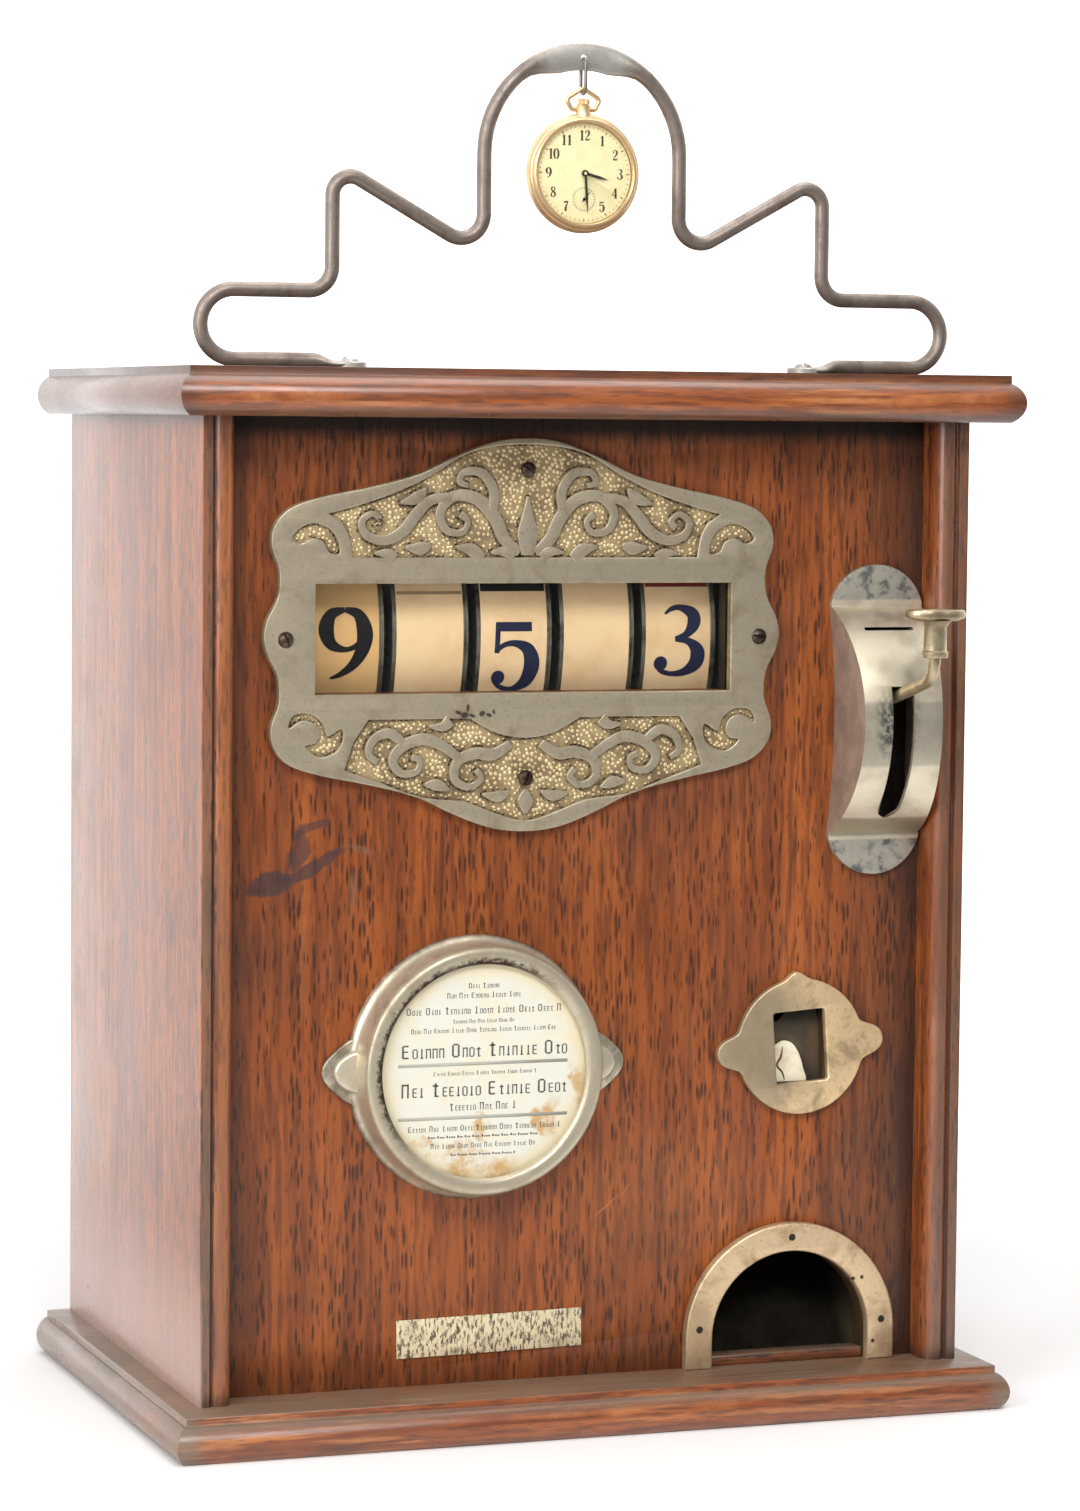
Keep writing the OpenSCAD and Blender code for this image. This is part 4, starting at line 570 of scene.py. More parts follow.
def close_tree(tree, geometry, material):
    solid = node(tree, "GeometryNodeRealizeInstances", Geometry=geometry).outputs[0]
    shaded = node(tree, "GeometryNodeSetShadeSmooth", Geometry=solid).outputs[0]
    painted = node(tree, "GeometryNodeSetMaterial", Geometry=shaded, Material=material).outputs[0]
    tree.links.new(painted, tree.nodes.new("NodeGroupOutput").inputs[0])


def run_tree(piece, tree, **values):
    step = piece.modifiers.new(tree.name, "NODES")
    step.node_group = tree
    for item in tree.interface.items_tree:
        if item.in_out == "INPUT" and item.name in values:
            step[item.identifier] = values[item.name]
    return settle(piece)


GRIME_AND_SHADE = (0.035, 0.018, 0.010, 1)


# Metal with a worn skin: a base colour, a tarnish colour in clouds and specks, and a soft unevenness. Cloud
# gives the noise where the clouds start, where they are full, and how strong they are.
def metal(name, colour, tarnish, rough, cloud=(0.5, 0.75, 0.6), speck=0.0, metallic=1.0, size=1.0, dents=0.3,
          marks=(), soiled=None):
    material, tree, shader = new_material(name)
    clouds = noise(tree, object_vector(tree), 90 / size, 6, 0.6, 0.4)
    specks = noise(tree, object_vector(tree, shift=(3, 1, 2)), 900 / size, 3, 0.6)
    ripple = noise(tree, object_vector(tree), 160 / size)
    start, full, strength = cloud
    shown = blend(tree, spread(tree, clouds, start, full, 0.0, strength), colour, tarnish)
    if speck > 0:
        shown = blend(tree, spread(tree, specks, 0.58, 0.70, 0.0, speck), shown, tarnish)
    shown = add_marks(tree, shown, marks)
    if soiled:
        soil = node(tree, "ShaderNodeAttribute", {"attribute_name": soiled}).outputs["Fac"]
        soil = times(tree, soil, spread(tree, clouds, 0.3, 0.55, 0.35, 1.0))
        shown = blend(tree, soil, shown, GRIME_AND_SHADE)
    set_inputs(tree, shader, Base_Color=shown, Metallic=metallic,
               Roughness=spread(tree, clouds, 0.3, 0.75, rough, rough + 0.2),
               Normal=bump(tree, ripple, 0.3 * MM, dents, bump(tree, specks, 0.05 * MM, dents)))
    return material


def front_middle(low, high):
    return (low.x + high.x) / 2, (low.z + high.z) / 2


def mirror_x(points):
    return [(-p[0], *p[1:]) for p in points]


plate_low, plate_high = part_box("number_plate")
PLATE_MIDDLE = front_middle(plate_low, plate_high)
PLATE_FRONT = plate_low.y
PANEL_Y = panel_low.y
GROUND_Y = PLATE_FRONT + 1.7 * MM
HALF_W = (plate_high.x - plate_low.x) / 2 / MM
HALF_H = (plate_high.z - plate_low.z) / 2 / MM
QUARTER = [(0, 1), (0.13, 0.98), (0.27, 0.91), (0.42, 0.815), (0.6, 0.75), (0.78, 0.7), (0.9, 0.645),
           (0.962, 0.555), (0.972, 0.45), (0.943, 0.33), (0.948, 0.2), (0.986, 0.09), (1, 0)]
quarter = [(x * HALF_W, z * HALF_H) for x, z in QUARTER]
under = [(x, -z) for x, z in quarter]
outline = smooth(quarter + under[-2::-1] + mirror_x(under)[1:] + mirror_x(quarter)[-2:0:-1], 4, True)
WINDOW = [(-82.5, -21.5), (82.5, -21.5), (82.5, 19.5), (-82.5, 19.5)]
TOP_EDGE = [(-77.5, 45.4), (-64.3, 48.9), (-49.7, 54), (-37.6, 59.8), (-25.6, 66.9), (-14.8, 70.2),
            (0, 71.4), (14.8, 70.2), (25.6, 66.9), (37.6, 59.8), (49.7, 54), (64.3, 48.9), (77.5, 45.4)]
TOP_ARM = [(72.3, 42), (69.6, 36.8), (68.4, 29.2)]
FOOT_EDGE = [(-71, -49.6), (-55.5, -55), (-40.7, -60.2), (-24.4, -62), (-12.5, -66.3), (0, -69.6),
             (12.5, -66.3), (24.4, -62), (40.7, -60.2), (55.5, -55), (71, -49.6)]
FOOT_ARM = [(67.7, -39.6), (61.8, -31)]
FESTOON = [(22, -31), (11.5, -36.6), (0, -38.6), (-11.5, -36.6), (-22, -31)]
CRESCENT = [(-91.6, 36.4), (-88.1, 40.2), (-82.9, 41.8), (-77.2, 39.6), (-74.2, 35.4), (-73.6, 30.6),
            (-77.6, 31.4), (-79.6, 35), (-84.1, 36.4), (-88.3, 34.4)]
HOOK = [(-92.6, -33.6), (-87.7, -30.8), (-82.6, -32), (-80.8, -36.2), (-82.6, -39.6), (-86.2, -40.4),
        (-81, -44.4), (-74.8, -42.8), (-71.8, -38.4), (-72.4, -34.2), (-77.6, -37), (-79.8, -32),
        (-84.4, -28.6), (-90.6, -29)]
top_arm, foot_arm = smooth(TOP_ARM, 3), smooth(FOOT_ARM, 3)
top_ground = smooth(TOP_EDGE, 3) + top_arm + mirror_x(top_arm)[::-1]
foot_ground = smooth(FOOT_EDGE, 3) + foot_arm + smooth(FESTOON, 3) + mirror_x(foot_arm)[::-1]
sunk = [top_ground, foot_ground]
sunk += [smooth(loop, 4, True) for loop in (CRESCENT, mirror_x(CRESCENT), HOOK, mirror_x(HOOK))]

# Ink on the rim: place across and up, half sizes, turn in degrees
BLOTS = [(-51, 271.2, 2.0, 0.9, 17.2), (-48.4, 270.2, 2.2, 1.5, -11.5), (-47, 272.8, 0.8, 1.9, 11.5),
         (-45.4, 269.8, 1.6, 0.8, 22.9), (-41.6, 270.6, 1.7, 1.2, -22.9), (-38.8, 270.2, 1.5, 0.9, 11.5),
         (-36.8, 271.4, 0.7, 1.2, -17.2)]
ink_spots = [mark(INK, 0.9, *place, 0.5, turn, 3) for *place, turn in BLOTS]
pewter = metal("pewter", (0.46, 0.395, 0.285, 1), (0.21, 0.17, 0.11, 1), 0.36, (0.40, 0.78, 0.8), 0.55,
               metallic=0.7, marks=ink_spots)
pale_gold = metal("pale_gold", (0.74, 0.60, 0.36, 1), (0.34, 0.25, 0.13, 1), 0.38, (0.45, 0.75, 0.7), 0.3,
                  metallic=0.7, soiled="soiled")
pit_dirt = metal("pit_dirt", (0.40, 0.30, 0.155, 1), (0.15, 0.10, 0.05, 1), 0.5, (0.35, 0.65, 0.8), 0.5, 0.4)
rim = plan_solid("plate_rim", [outline, WINDOW] + sunk, PLATE_MIDDLE, GROUND_Y, PLATE_FRONT, 0.5 * MM)
bed = plan_solid("plate_bed", [outline, WINDOW], PLATE_MIDDLE, PANEL_Y, GROUND_Y, 0.1 * MM)
dress(rim, "cabinet", "cast_plate", pewter, "number_plate")
dress(bed, "cabinet", "cast_plate", pit_dirt)

# Vine scrolls in relief, drawn on the right and mirrored: place across, place up, width
VINES = [
    [(3, 31, 2.4), (9, 36, 3.4), (13, 44, 3.6), (20, 51, 3.4), (29, 52, 3.0), (34.5, 46, 2.6),
     (32, 39.5, 2.2), (26, 38.5, 1.8), (23.5, 42.5, 1.6), (26.5, 45.4, 2.2)],
    [(30, 51.5, 2.6), (38, 50.5, 2.8), (44, 45, 3.2), (49, 39, 3.2), (56, 35.6, 2.8), (63, 37.5, 2.4),
     (65, 42.4, 2.0), (61, 45.4, 1.7), (57.4, 42.6, 1.6), (59.6, 40.2, 2.0)],
    [(14, 46, 2.6), (13.5, 54, 2.8), (18, 60.5, 2.6), (25, 61, 2.0), (27, 57.2, 1.6), (23.6, 56, 1.4)],
    [(38, 34, 1.0), (42, 32.6, 3.6), (48, 33, 0.8)],
    [(40, 55, 0.8), (43.5, 51.4, 3.4), (50, 49.4, 0.8)],
    [(0, 30, 3.4), (0, 38, 5.6), (0, 45, 3.2), (0, 52, 0.6)],
    [(18, 28.6, 3.0), (22, 32, 3.6), (28, 33.2, 0.8)],
    [(52, 28.6, 3.0), (55, 30.6, 2.8), (60, 30.8, 0.8)],
    [(5.5, 29, 2.6), (9, 31.4, 2.8), (14.5, 31, 0.7)],
    [(6, -40.5, 2.4), (13, -44.5, 3.2), (20, -44, 3.2), (27, -47, 2.8), (28, -53.6, 2.4), (22.4, -56.6, 2.0),
     (17.6, -53.6, 1.6), (19.6, -50.2, 1.8)],
    [(26, -46, 2.4), (33, -41, 2.8), (40, -38.4, 3.2), (48, -40.6, 3.0), (52.4, -46, 2.6), (49, -51, 2.2),
     (43, -50.4, 1.8), (42, -46.4, 1.6), (45, -45, 1.8)],
    [(48, -40, 2.4), (54, -36, 2.8), (60, -38.4, 2.4), (61.8, -43.6, 2.0), (58.2, -46.6, 1.6)],
    [(30, -57.6, 0.8), (35, -55.6, 3.2), (40, -55.4, 0.8)],
    [(0, -57.6, 0.8), (0, -62, 4.4), (0, -67, 0.8)],
    [(6, -58.5, 0.7), (11, -60.4, 3.0), (17, -59.4, 0.7)],
    [(30, -31.4, 3.4), (33, -33.8, 2.6), (38.4, -33.6, 0.7)],
]
VINE_BOLD = 1.4
VINE_STEP = 0.03 * MM
VINE_FRONT, VINE_BACK = PLATE_FRONT - 0.1 * MM, GROUND_Y + 0.2 * MM
relief, edges = [], list(sunk)
for number, vine in enumerate(VINES):
    vine = [(x, z, VINE_BOLD * wide) for x, z, wide in vine]
    on_middle = max(abs(point[0]) for point in vine) == 0
    for side, points in enumerate((vine,) if on_middle else (vine, mirror_x(vine))):
        edges.append(stroke(points))
        relief.append(plan_solid("vine_%d_%d" % (number, side), edges[-1:], PLATE_MIDDLE, VINE_BACK,
                                 VINE_FRONT - VINE_STEP * number, 0.35 * MM))
dress(join("plate_vines", relief), "cabinet", "cast_plate", pewter)

# Stipple: small bumps scattered over the sunk ground, soiled along the foot of the relief
STIPPLE_PITCH = 1.35 * MM
STIPPLE_DENSITY = 900000.0
STIPPLE_R = 0.74 * MM
STIPPLE_FLAT = 0.55
STIPPLE_SMALL, STIPPLE_LARGE = 0.75, 1.25
STIPPLE_SEED = 7
tree, inputs = new_tree("stipple", {"Pitch": "Float", "Density": "Float", "Radius": "Float",
                                    "Flatness": "Float", "Seed": "Int", "Material": "Material"})
spots = node(tree, "GeometryNodeDistributePointsOnFaces", {"distribute_method": "POISSON"},
             Mesh=inputs["Geometry"], Distance_Min=inputs["Pitch"], Density_Max=inputs["Density"],
             Seed=inputs["Seed"])
ball = node(tree, "GeometryNodeMeshIcoSphere", Radius=inputs["Radius"], Subdivisions=2)
sizes = node(tree, "FunctionNodeRandomValue", {"data_type": "FLOAT"}, Seed=inputs["Seed"])
feed(tree, sizes.inputs[2], STIPPLE_SMALL)
feed(tree, sizes.inputs[3], STIPPLE_LARGE)
squashed = node(tree, "ShaderNodeCombineXYZ", X=1.0, Y=inputs["Flatness"], Z=1.0)
scaled = node(tree, "ShaderNodeVectorMath", {"operation": "SCALE"}, Vector=squashed.outputs[0],
              Scale=sizes.outputs[1])
bumps = node(tree, "GeometryNodeInstanceOnPoints", Points=spots.outputs["Points"], Instance=ball.outputs[0],
             Scale=scaled.outputs[0])
close_tree(tree, bumps.outputs[0], inputs["Material"])
ground = join("plate_stipple", [plan_solid("ground_%d" % k, [loop], PLATE_MIDDLE, GROUND_Y, GROUND_Y, 0)
                                for k, loop in enumerate(sunk)])
run_tree(ground, tree, Pitch=STIPPLE_PITCH, Density=STIPPLE_DENSITY, Radius=STIPPLE_R, Flatness=STIPPLE_FLAT,
         Seed=STIPPLE_SEED, Material=pale_gold)
SOIL_STEP = 0.5
SOIL_FROM, SOIL_TO = 2.0, 0.5
samples = []
for loop in edges:
    for (x, z), (next_x, next_z) in zip(loop, loop[1:] + loop[:1]):
        count = max(1, round(math.hypot(next_x - x, next_z - z) / SOIL_STEP))
        samples += [(x + (next_x - x) * k / count, z + (next_z - z) * k / count, 0) for k in range(count)]
nearest = kdtree.KDTree(len(samples))
for k, spot in enumerate(samples):
    nearest.insert(spot, k)
nearest.balance()
soil = ground.data.attributes.new("soiled", "FLOAT", "POINT")
for vert, value in zip(ground.data.vertices, soil.data):
    _, _, far = nearest.find(((vert.co.x - PLATE_MIDDLE[0]) / MM, (vert.co.z - PLATE_MIDDLE[1]) / MM, 0))
    share = min(1.0, max(0.0, (SOIL_FROM - far) / (SOIL_FROM - SOIL_TO)))
    value.value = share * share
dress(ground, "cabinet", "cast_plate", ())


def round_angles(count):
    return [2 * math.pi * k / count for k in range(count)]


# A turned piece whose axis points to the front: profile in millimetres as radius and distance forward
def turned(name, profile, middle, back, segments=96, sharp_deg=30):
    work = bmesh.new()
    rings = []
    for r, out in profile:
        angles = round_angles(segments if r else 1)
        rings.append([work.verts.new((middle[0] + r * MM * math.cos(a), back - out * MM,
                                      middle[1] + r * MM * math.sin(a))) for a in angles])
    for low, high in zip(rings, rings[1:] + rings[:1]):
        for k in range(segments):
            n = k + 1
            face = [low[k % len(low)], low[n % len(low)], high[n % len(high)], high[k % len(high)]]
            face = list(dict.fromkeys(face))
            if len(face) > 2:
                work.faces.new(face)
    return close_work(name, work, sharp_deg)


def small_box(name, wide, deep, tall):
    work = bmesh.new()
    bmesh.ops.create_cube(work, size=1, matrix=Matrix.Diagonal((wide, deep, tall, 1)))
    return close_work(name, work)


def cut_away(piece, cutter):
    cut = piece.modifiers.new("cut", "BOOLEAN")
    cut.object = cutter
    cut.solver = "EXACT"
    settle(piece)
    bpy.data.objects.remove(cutter)


# A point in millimetres from a middle in X and Z
def from_point(middle, x, y, z):
    return (middle[0] + x * MM, y, middle[1] + z * MM)


# Loose points, each with a vector of its own
def loose_points(name, places, label, vectors):
    mesh = bpy.data.meshes.new(name)
    mesh.from_pydata(places, [], [])
    values = mesh.attributes.new(label, "FLOAT_VECTOR", "POINT")
    for value, vector in zip(values.data, vectors):
        value.vector = vector
    return add_object(name, mesh)


def set_copies(name, template, places, turns, material):
    tree, inputs = new_tree(name, {"Template": "Object", "Size": "Float", "Material": "Material"})
    source = node(tree, "GeometryNodeObjectInfo", Object=inputs["Template"])
    turn = node(tree, "GeometryNodeInputNamedAttribute", {"data_type": "FLOAT_VECTOR"}, Name="turn")
    spin = node(tree, "FunctionNodeEulerToRotation", Euler=turn.outputs[0])
    points = node(tree, "GeometryNodeMeshToPoints", Mesh=inputs["Geometry"])
    copies = node(tree, "GeometryNodeInstanceOnPoints", Points=points.outputs[0], Rotation=spin.outputs[0],
                  Instance=source.outputs["Geometry"], Scale=inputs["Size"])
    close_tree(tree, copies.outputs[0], inputs["Material"])
    piece = loose_points(name, places, "turn", turns)
    run_tree(piece, tree, Template=template, Size=1.0, Material=material)
    bpy.data.objects.remove(template)
    piece.data.set_sharp_from_angle(angle=math.radians(40))
    return piece


# Slotted screws: one head, set on every screw place with its own turn
def slotted_head(name, r, high, slot):
    dome = [(0, 0), (r, 0), (r, 0.15 * high), (0.86 * r, 0.55 * high), (0.5 * r, 0.9 * high), (0, high)]
    head = turned(name, dome, (0, 0), 0, 24)
    cutter = small_box("slot", 3 * r * MM, high * MM, slot * MM)
    cutter.data.transform(Matrix.Translation((0, -0.95 * high * MM, 0)))
    cut_away(head, cutter)
    return head


SCREWS = [(0, 62), (0, -53.5), (94, -1), (-94, -1)]
SCREW_TURNS = [0.6, 1.9, 0.2, 1.2]
screw_steel = metal("screw_steel", (0.24, 0.19, 0.16, 1), (0.045, 0.026, 0.018, 1), 0.36, (0.3, 0.6, 0.9),
                    0.5)
screws = set_copies("plate_screws", slotted_head("plate_screw", 3.0, 1.9, 0.9),
                    [from_point(PLATE_MIDDLE, x, PLATE_FRONT, z) for x, z in SCREWS],
                    [(0, turn, 0) for turn in SCREW_TURNS], screw_steel)
dress(screws, "cabinet", "nickel", (), "number_plate_screws")


# Window glass: nearly clear, with a faint reflection
def clear_glass(name, shine=0.5):
    material, tree, _ = new_material(name)
    through = node(tree, "ShaderNodeBsdfTransparent", Color=(0.99, 0.99, 0.985, 1))
    mirror = node(tree, "ShaderNodeBsdfGlossy", Color=(1, 1, 1, 1), Roughness=0.03)
    edge = node(tree, "ShaderNodeFresnel", IOR=1.45).outputs[0]
    mix_shaders(tree, times(tree, edge, shine), through, mirror)
    return material


pane = clear_glass("window_glass")
dress(soften(solid_copy("number_pane", "number_glass"), 0.2 * MM), "cabinet", "glass", pane, "number_glass")


# Number reels
# Five sheet-metal drums on one shaft, each with a strip of cream or tan card round it. Large figures
# are printed in black or navy at every other station, and some blank stations have a printed bar.
def ball_stroke(x, z, r):
    return [(x - r, z, 0.3), (x - 0.72 * r, z, 1.4 * r), (x, z, 2 * r), (x + 0.72 * r, z, 1.4 * r),
            (x + r, z, 0.3)]


# Each figure is a few lines: place across, place up, width
NINE = [[(0, 12.7, 1.9), (-5.2, 10.8, 4.2), (-7.2, 5.2, 5.8), (-5.2, -0.2, 4.2), (0, -2.2, 2),
         (4.4, -0.6, 2), (6.8, 3, 2)],
        [(0, 12.7, 1.9), (5, 10.8, 4.2), (7.3, 4.6, 6), (6.6, -1.6, 5.4), (3.6, -7.4, 3.8), (-1, -11.4, 2.2),
         (-5.2, -13.2, 0.8)]]
DIGITS = {
    "0": [[(0, 12.7, 1.8), (-5.2, 10, 4.4), (-7.2, 0, 6), (-5.2, -10, 4.4), (0, -12.7, 1.8)],
          [(0, 12.7, 1.8), (5.2, 10, 4.4), (7.2, 0, 6), (5.2, -10, 4.4), (0, -12.7, 1.8)]],
    "1": [[(0.5, 13, 5.6), (0.5, 0, 5.6), (0.5, -12.4, 5.6)],
          [(0.5, 12.4, 2.4), (-3, 10, 2.2), (-5.8, 9.2, 1.6)],
          [(-5.5, -12.6, 1.8), (0, -12.6, 1.8), (6.5, -12.6, 1.8)]],
    "2": [ball_stroke(-5.2, 7.4, 2.5),
          [(-7, 8.4, 1.8), (-4.6, 12, 1.8), (0, 12.8, 2), (5, 10.6, 4.6), (6.2, 6.5, 5.6), (3.6, 1, 4.2),
           (-2, -5, 2.4), (-6.8, -10.4, 1.8)],
          [(-7.4, -11.6, 2.6), (-2, -10.8, 4.2), (3, -11.7, 4), (6.8, -10.2, 2), (7.4, -6.5, 1.6)]],
    "3": [[(-5.2, 10.4, 0.8), (-2.4, 12.4, 1.8), (1.2, 12.8, 2.4), (5.6, 10.4, 4.8), (6, 6.6, 5),
           (3.2, 2.6, 2.8), (-1.2, 0.8, 1.8)],
          [(-1.2, 0.8, 1.8), (4.2, -0.2, 2.8), (7.6, -3.8, 5.4), (7.2, -8.4, 5.4), (3.2, -11.8, 3.2),
           (-1.8, -12.7, 1.9), (-6, -11.6, 1.9), (-8.2, -9, 1.8)],
          ball_stroke(-6.6, -8.6, 2.7)],
    "4": [[(2.6, 12.8, 2), (-3, 4, 1.9), (-8, -5, 1.8)],
          [(-8.4, -5.4, 2), (0, -5.4, 2), (8.4, -5.4, 2)],
          [(3, 12.8, 4.6), (3, 0, 5.4), (3, -12.4, 5.4)],
          [(-1.8, -12.6, 1.6), (3, -12.6, 1.6), (7.8, -12.6, 1.6)]],
    "5": [[(-6.9, 11.4, 3.4), (0, 11.4, 3.4), (6.9, 11.4, 3.4)],
          [(-6, 12.6, 1.9), (-6.2, 7, 1.9), (-6.4, 1.4, 1.9)],
          [(-6.9, 2, 1.8), (-3.4, 4.6, 1.9), (1, 5, 2.6), (5.6, 2.6, 4.8), (7.2, -3.2, 6), (5.2, -9.4, 4.8),
           (0.5, -12.5, 2), (-4.4, -11.8, 1.8), (-7.1, -9, 1.8)],
          ball_stroke(-5.5, -8, 2.6)],
    "6": [[(-x, -z, wide) for x, z, wide in line] for line in NINE],
    "7": [[(-6.8, 11, 4), (0, 10.9, 4.4), (7, 12.2, 2.6)],
          [(-7, 7.4, 1.6), (-6.9, 10, 2), (-6.6, 12.6, 1.8)],
          [(6.8, 11.8, 2.2), (2.5, 5, 3), (-1, -3, 5), (-2, -12.8, 6.4)]],
    "8": [[(0, 12.7, 1.9), (-5, 10.3, 3.8), (-5.6, 6.5, 4.4), (-2.8, 2.4, 4.2), (2.6, -0.6, 4.6),
           (6.3, -5, 5), (5.4, -10, 4.2), (0, -12.7, 1.9), (-5.6, -10.6, 3.6), (-6.8, -6.4, 3.8),
           (-4, -1.6, 2.4), (1.8, 1.8, 2.2), (5, 5.6, 2.8), (4.8, 9.8, 3.2), (0, 12.7, 1.9)]],
    "9": NINE,
}


# Print laid on a surface: lines of place and width become thin strips, put where the given function says
def print_strips(name, lines, put, steps=8):
    work = bmesh.new()
    for line in lines:
        edge = stroke(line, steps)
        half = len(edge) // 2
        rows = []
        for left, right in zip(edge[:half], edge[:half - 1:-1]):
            rows.append([work.verts.new(put(x, z, level)) for level in (1, 0) for x, z in (left, right)])
        for a, b in zip(rows, rows[1:]):
            for k, n in ((0, 1), (1, 3), (3, 2), (2, 0)):
                work.faces.new((a[k], a[n], b[n], b[k]))
        for row in (rows[0], rows[-1]):
            work.faces.new((row[0], row[1], row[3], row[2]))
    return close_work(name, work)


def plain(name, colour, rough=0.6, shine=0.3):
    material, tree, shader = new_material(name)
    set_inputs(tree, shader, Base_Color=colour, Roughness=rough, Specular_IOR_Level=shine)
    return material


# Card stock, yellowed in clouds and along its fibres
def old_card(name, colour, aged, amount=0.6, scale=60):
    material, tree, shader = new_material(name)
    clouds = noise(tree, object_vector(tree), scale, 5, 0.6)
    fibres = noise(tree, object_vector(tree), 1400)
    shown = blend(tree, spread(tree, clouds, 0.4, 0.72, 0.0, amount), colour, aged)
    shown = blend(tree, spread(tree, fibres, 0.5, 0.8, 0.0, 0.18), shown, aged)
    set_inputs(tree, shader, Base_Color=shown, Roughness=0.75, Specular_IOR_Level=0.2,
               Normal=bump(tree, fibres, 0.05 * MM, 0.3))
    return material


def smooth_copy(name, node_name, sharp_deg=35):
    piece = solid_copy(name, node_name)
    shade_smooth(piece.data, sharp_deg)
    return piece


DRUM_R, CARD_R, CARD_HALF_W = 62.0, 62.15, 13.2
CARD_STRIP = [(DRUM_R, -CARD_HALF_W), (CARD_R, -CARD_HALF_W), (CARD_R, CARD_HALF_W), (DRUM_R, CARD_HALF_W)]
PRINT_GAP, PRINT_THICK = 0.05, 0.06
STATION = 2 * math.pi / 10
FIGURE_WIDEN = 1.04
BAR_HALF = 12.8
black_ink = plain("black_ink", (0.006, 0.006, 0.007, 1), 0.5)
navy_ink = plain("navy_ink", (0.010, 0.014, 0.050, 1), 0.5)
red_ink = plain("red_ink", (0.20, 0.018, 0.012, 1), 0.5)
seam_ink = plain("seam_ink", (0.34, 0.23, 0.13, 1), 0.7)
drum_tin = metal("drum_tin", (0.36, 0.36, 0.29, 1), (0.03, 0.028, 0.022, 1), 0.4, (0.4, 0.7, 0.8))
CREAM = (0.80, 0.585, 0.345, 1)
TAN = (0.66, 0.41, 0.17, 1)
AGED = (0.60, 0.38, 0.17, 1)
# For each reel: its card, its ink, the lift of the figure that shows, its figures round the drum, and a bar's
# ink, place and height
REELS = [(TAN, black_ink, -0.06, "91472", None), (CREAM, navy_ink, 1.0, "28057", (seam_ink, 16.6, 1.2)),
         (CREAM, navy_ink, -0.2, "50381", (black_ink, 19.6, 5.0)), (CREAM, black_ink, 1.0, "47196", None),
         (CREAM, navy_ink, -0.06, "36920", (red_ink, 20.4, 3.6))]
for number, (paper, ink, lift, figures, bar) in enumerate(REELS, 1):
    reel = "reel_%d" % number
    body = "number_reel_%d" % number
    low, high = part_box(reel)
    axis = (low + high) / 2

    def on_drum(x, z, level, axis=axis):
        r = (CARD_R + PRINT_GAP + PRINT_THICK * level) * MM
        return (axis.x + x * MM, axis.y - r * math.cos(z / CARD_R), axis.z + r * math.sin(z / CARD_R))

    dress(smooth_copy("drum_%d" % number, reel, 30), body, "reel", drum_tin, reel)
    band = turned("card_strip_%d" % number, CARD_STRIP, (0, 0), 0, 180)
    band.data.transform(Matrix.Translation(axis) @ Matrix.Rotation(math.radians(90), 4, "Z"))
    dress(band, body, "reel", old_card("strip_card_%d" % number, paper, AGED, 0.5))
    lines = []
    for k, figure in enumerate(figures):
        rise = (2 * k + lift) * STATION * CARD_R
        for line in DIGITS[figure]:
            lines.append([(FIGURE_WIDEN * x, z + rise, FIGURE_WIDEN * wide) for x, z, wide in line])
    dress(print_strips("figures_%d" % number, lines, on_drum), body, "reel", ink)
    if bar:
        bar_ink, rise, tall = bar
        bar_line = [(x, rise, tall) for x in (-BAR_HALF, 0, BAR_HALF)]
        dress(print_strips("bar_%d" % number, [bar_line], on_drum, 2), body, "reel", bar_ink)


# Lever and guide
# A bowed nickel strap on two rounded feet guides the push-down lever; a coin slot is cut above it. The
# lever is a bent nickel rod with a ferrule and a flat thumb piece. Tarnish lies on the feet and cheeks.
NICKEL = (0.74, 0.66, 0.51, 1)
NICKEL_DULL = (0.30, 0.25, 0.17, 1)
BLUE_TARNISH = (0.40, 0.385, 0.335, 1)
BLACK_TARNISH = (0.085, 0.09, 0.09, 1)
REFLECTION_GREY = (0.34, 0.31, 0.25, 1)
REFLECTION_BROWN = (0.26, 0.205, 0.14, 1)
guide_low, guide_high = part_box("lever_guide")
GUIDE_X, GUIDE_Z = front_middle(guide_low, guide_high)
BOW_HALF = 44.75 * MM
WORN_SIDE = GUIDE_X - 2.5 * MM
# Painted reflections: a grey and a brown band across the bow, where polished nickel would mirror the room
GUIDE_PAINTED_REFLECTIONS = [mark(REFLECTION_GREY, 0.6, 0, 262.5, THROUGH, 13.5, 0.86, ragged=1.5),
               mark(REFLECTION_BROWN, 0.6, 0, 225.5, THROUGH, 4.6, 0.7, ragged=1)]
guide_nickel, tree, shader = new_material("guide_nickel")
place = xyz_of(tree, object_vector(tree))
mottle = noise(tree, object_vector(tree), 170, 6, 0.6, 0.3)
haze = noise(tree, object_vector(tree), 60, 4)
fleck = noise(tree, object_vector(tree), 330, 4, 0.65)
rise = off_middle(tree, place["Z"], GUIDE_Z)
on_foot = spread(tree, rise, BOW_HALF + 1.0 * MM, BOW_HALF + 2.2 * MM)
beside = times(tree, spread(tree, off_middle(tree, place["X"], WORN_SIDE), 11 * MM, 4 * MM),
               spread(tree, rise, 17 * MM, 4 * MM))
shown = blend(tree, spread(tree, haze, 0.42, 0.75, 0.0, 0.6), NICKEL, NICKEL_DULL)
shown = add_marks(tree, shown, GUIDE_PAINTED_REFLECTIONS)
shown = blend(tree, times(tree, on_foot, spread(tree, mottle, 0.36, 0.60, 0.6, 1.0)), shown, BLUE_TARNISH)
shown = blend(tree, times(tree, on_foot, spread(tree, mottle, 0.50, 0.66, 0.0, 0.85)), shown, BLACK_TARNISH)
shown = blend(tree, times(tree, beside, spread(tree, fleck, 0.43, 0.56, 0.15, 0.95)), shown, BLACK_TARNISH)
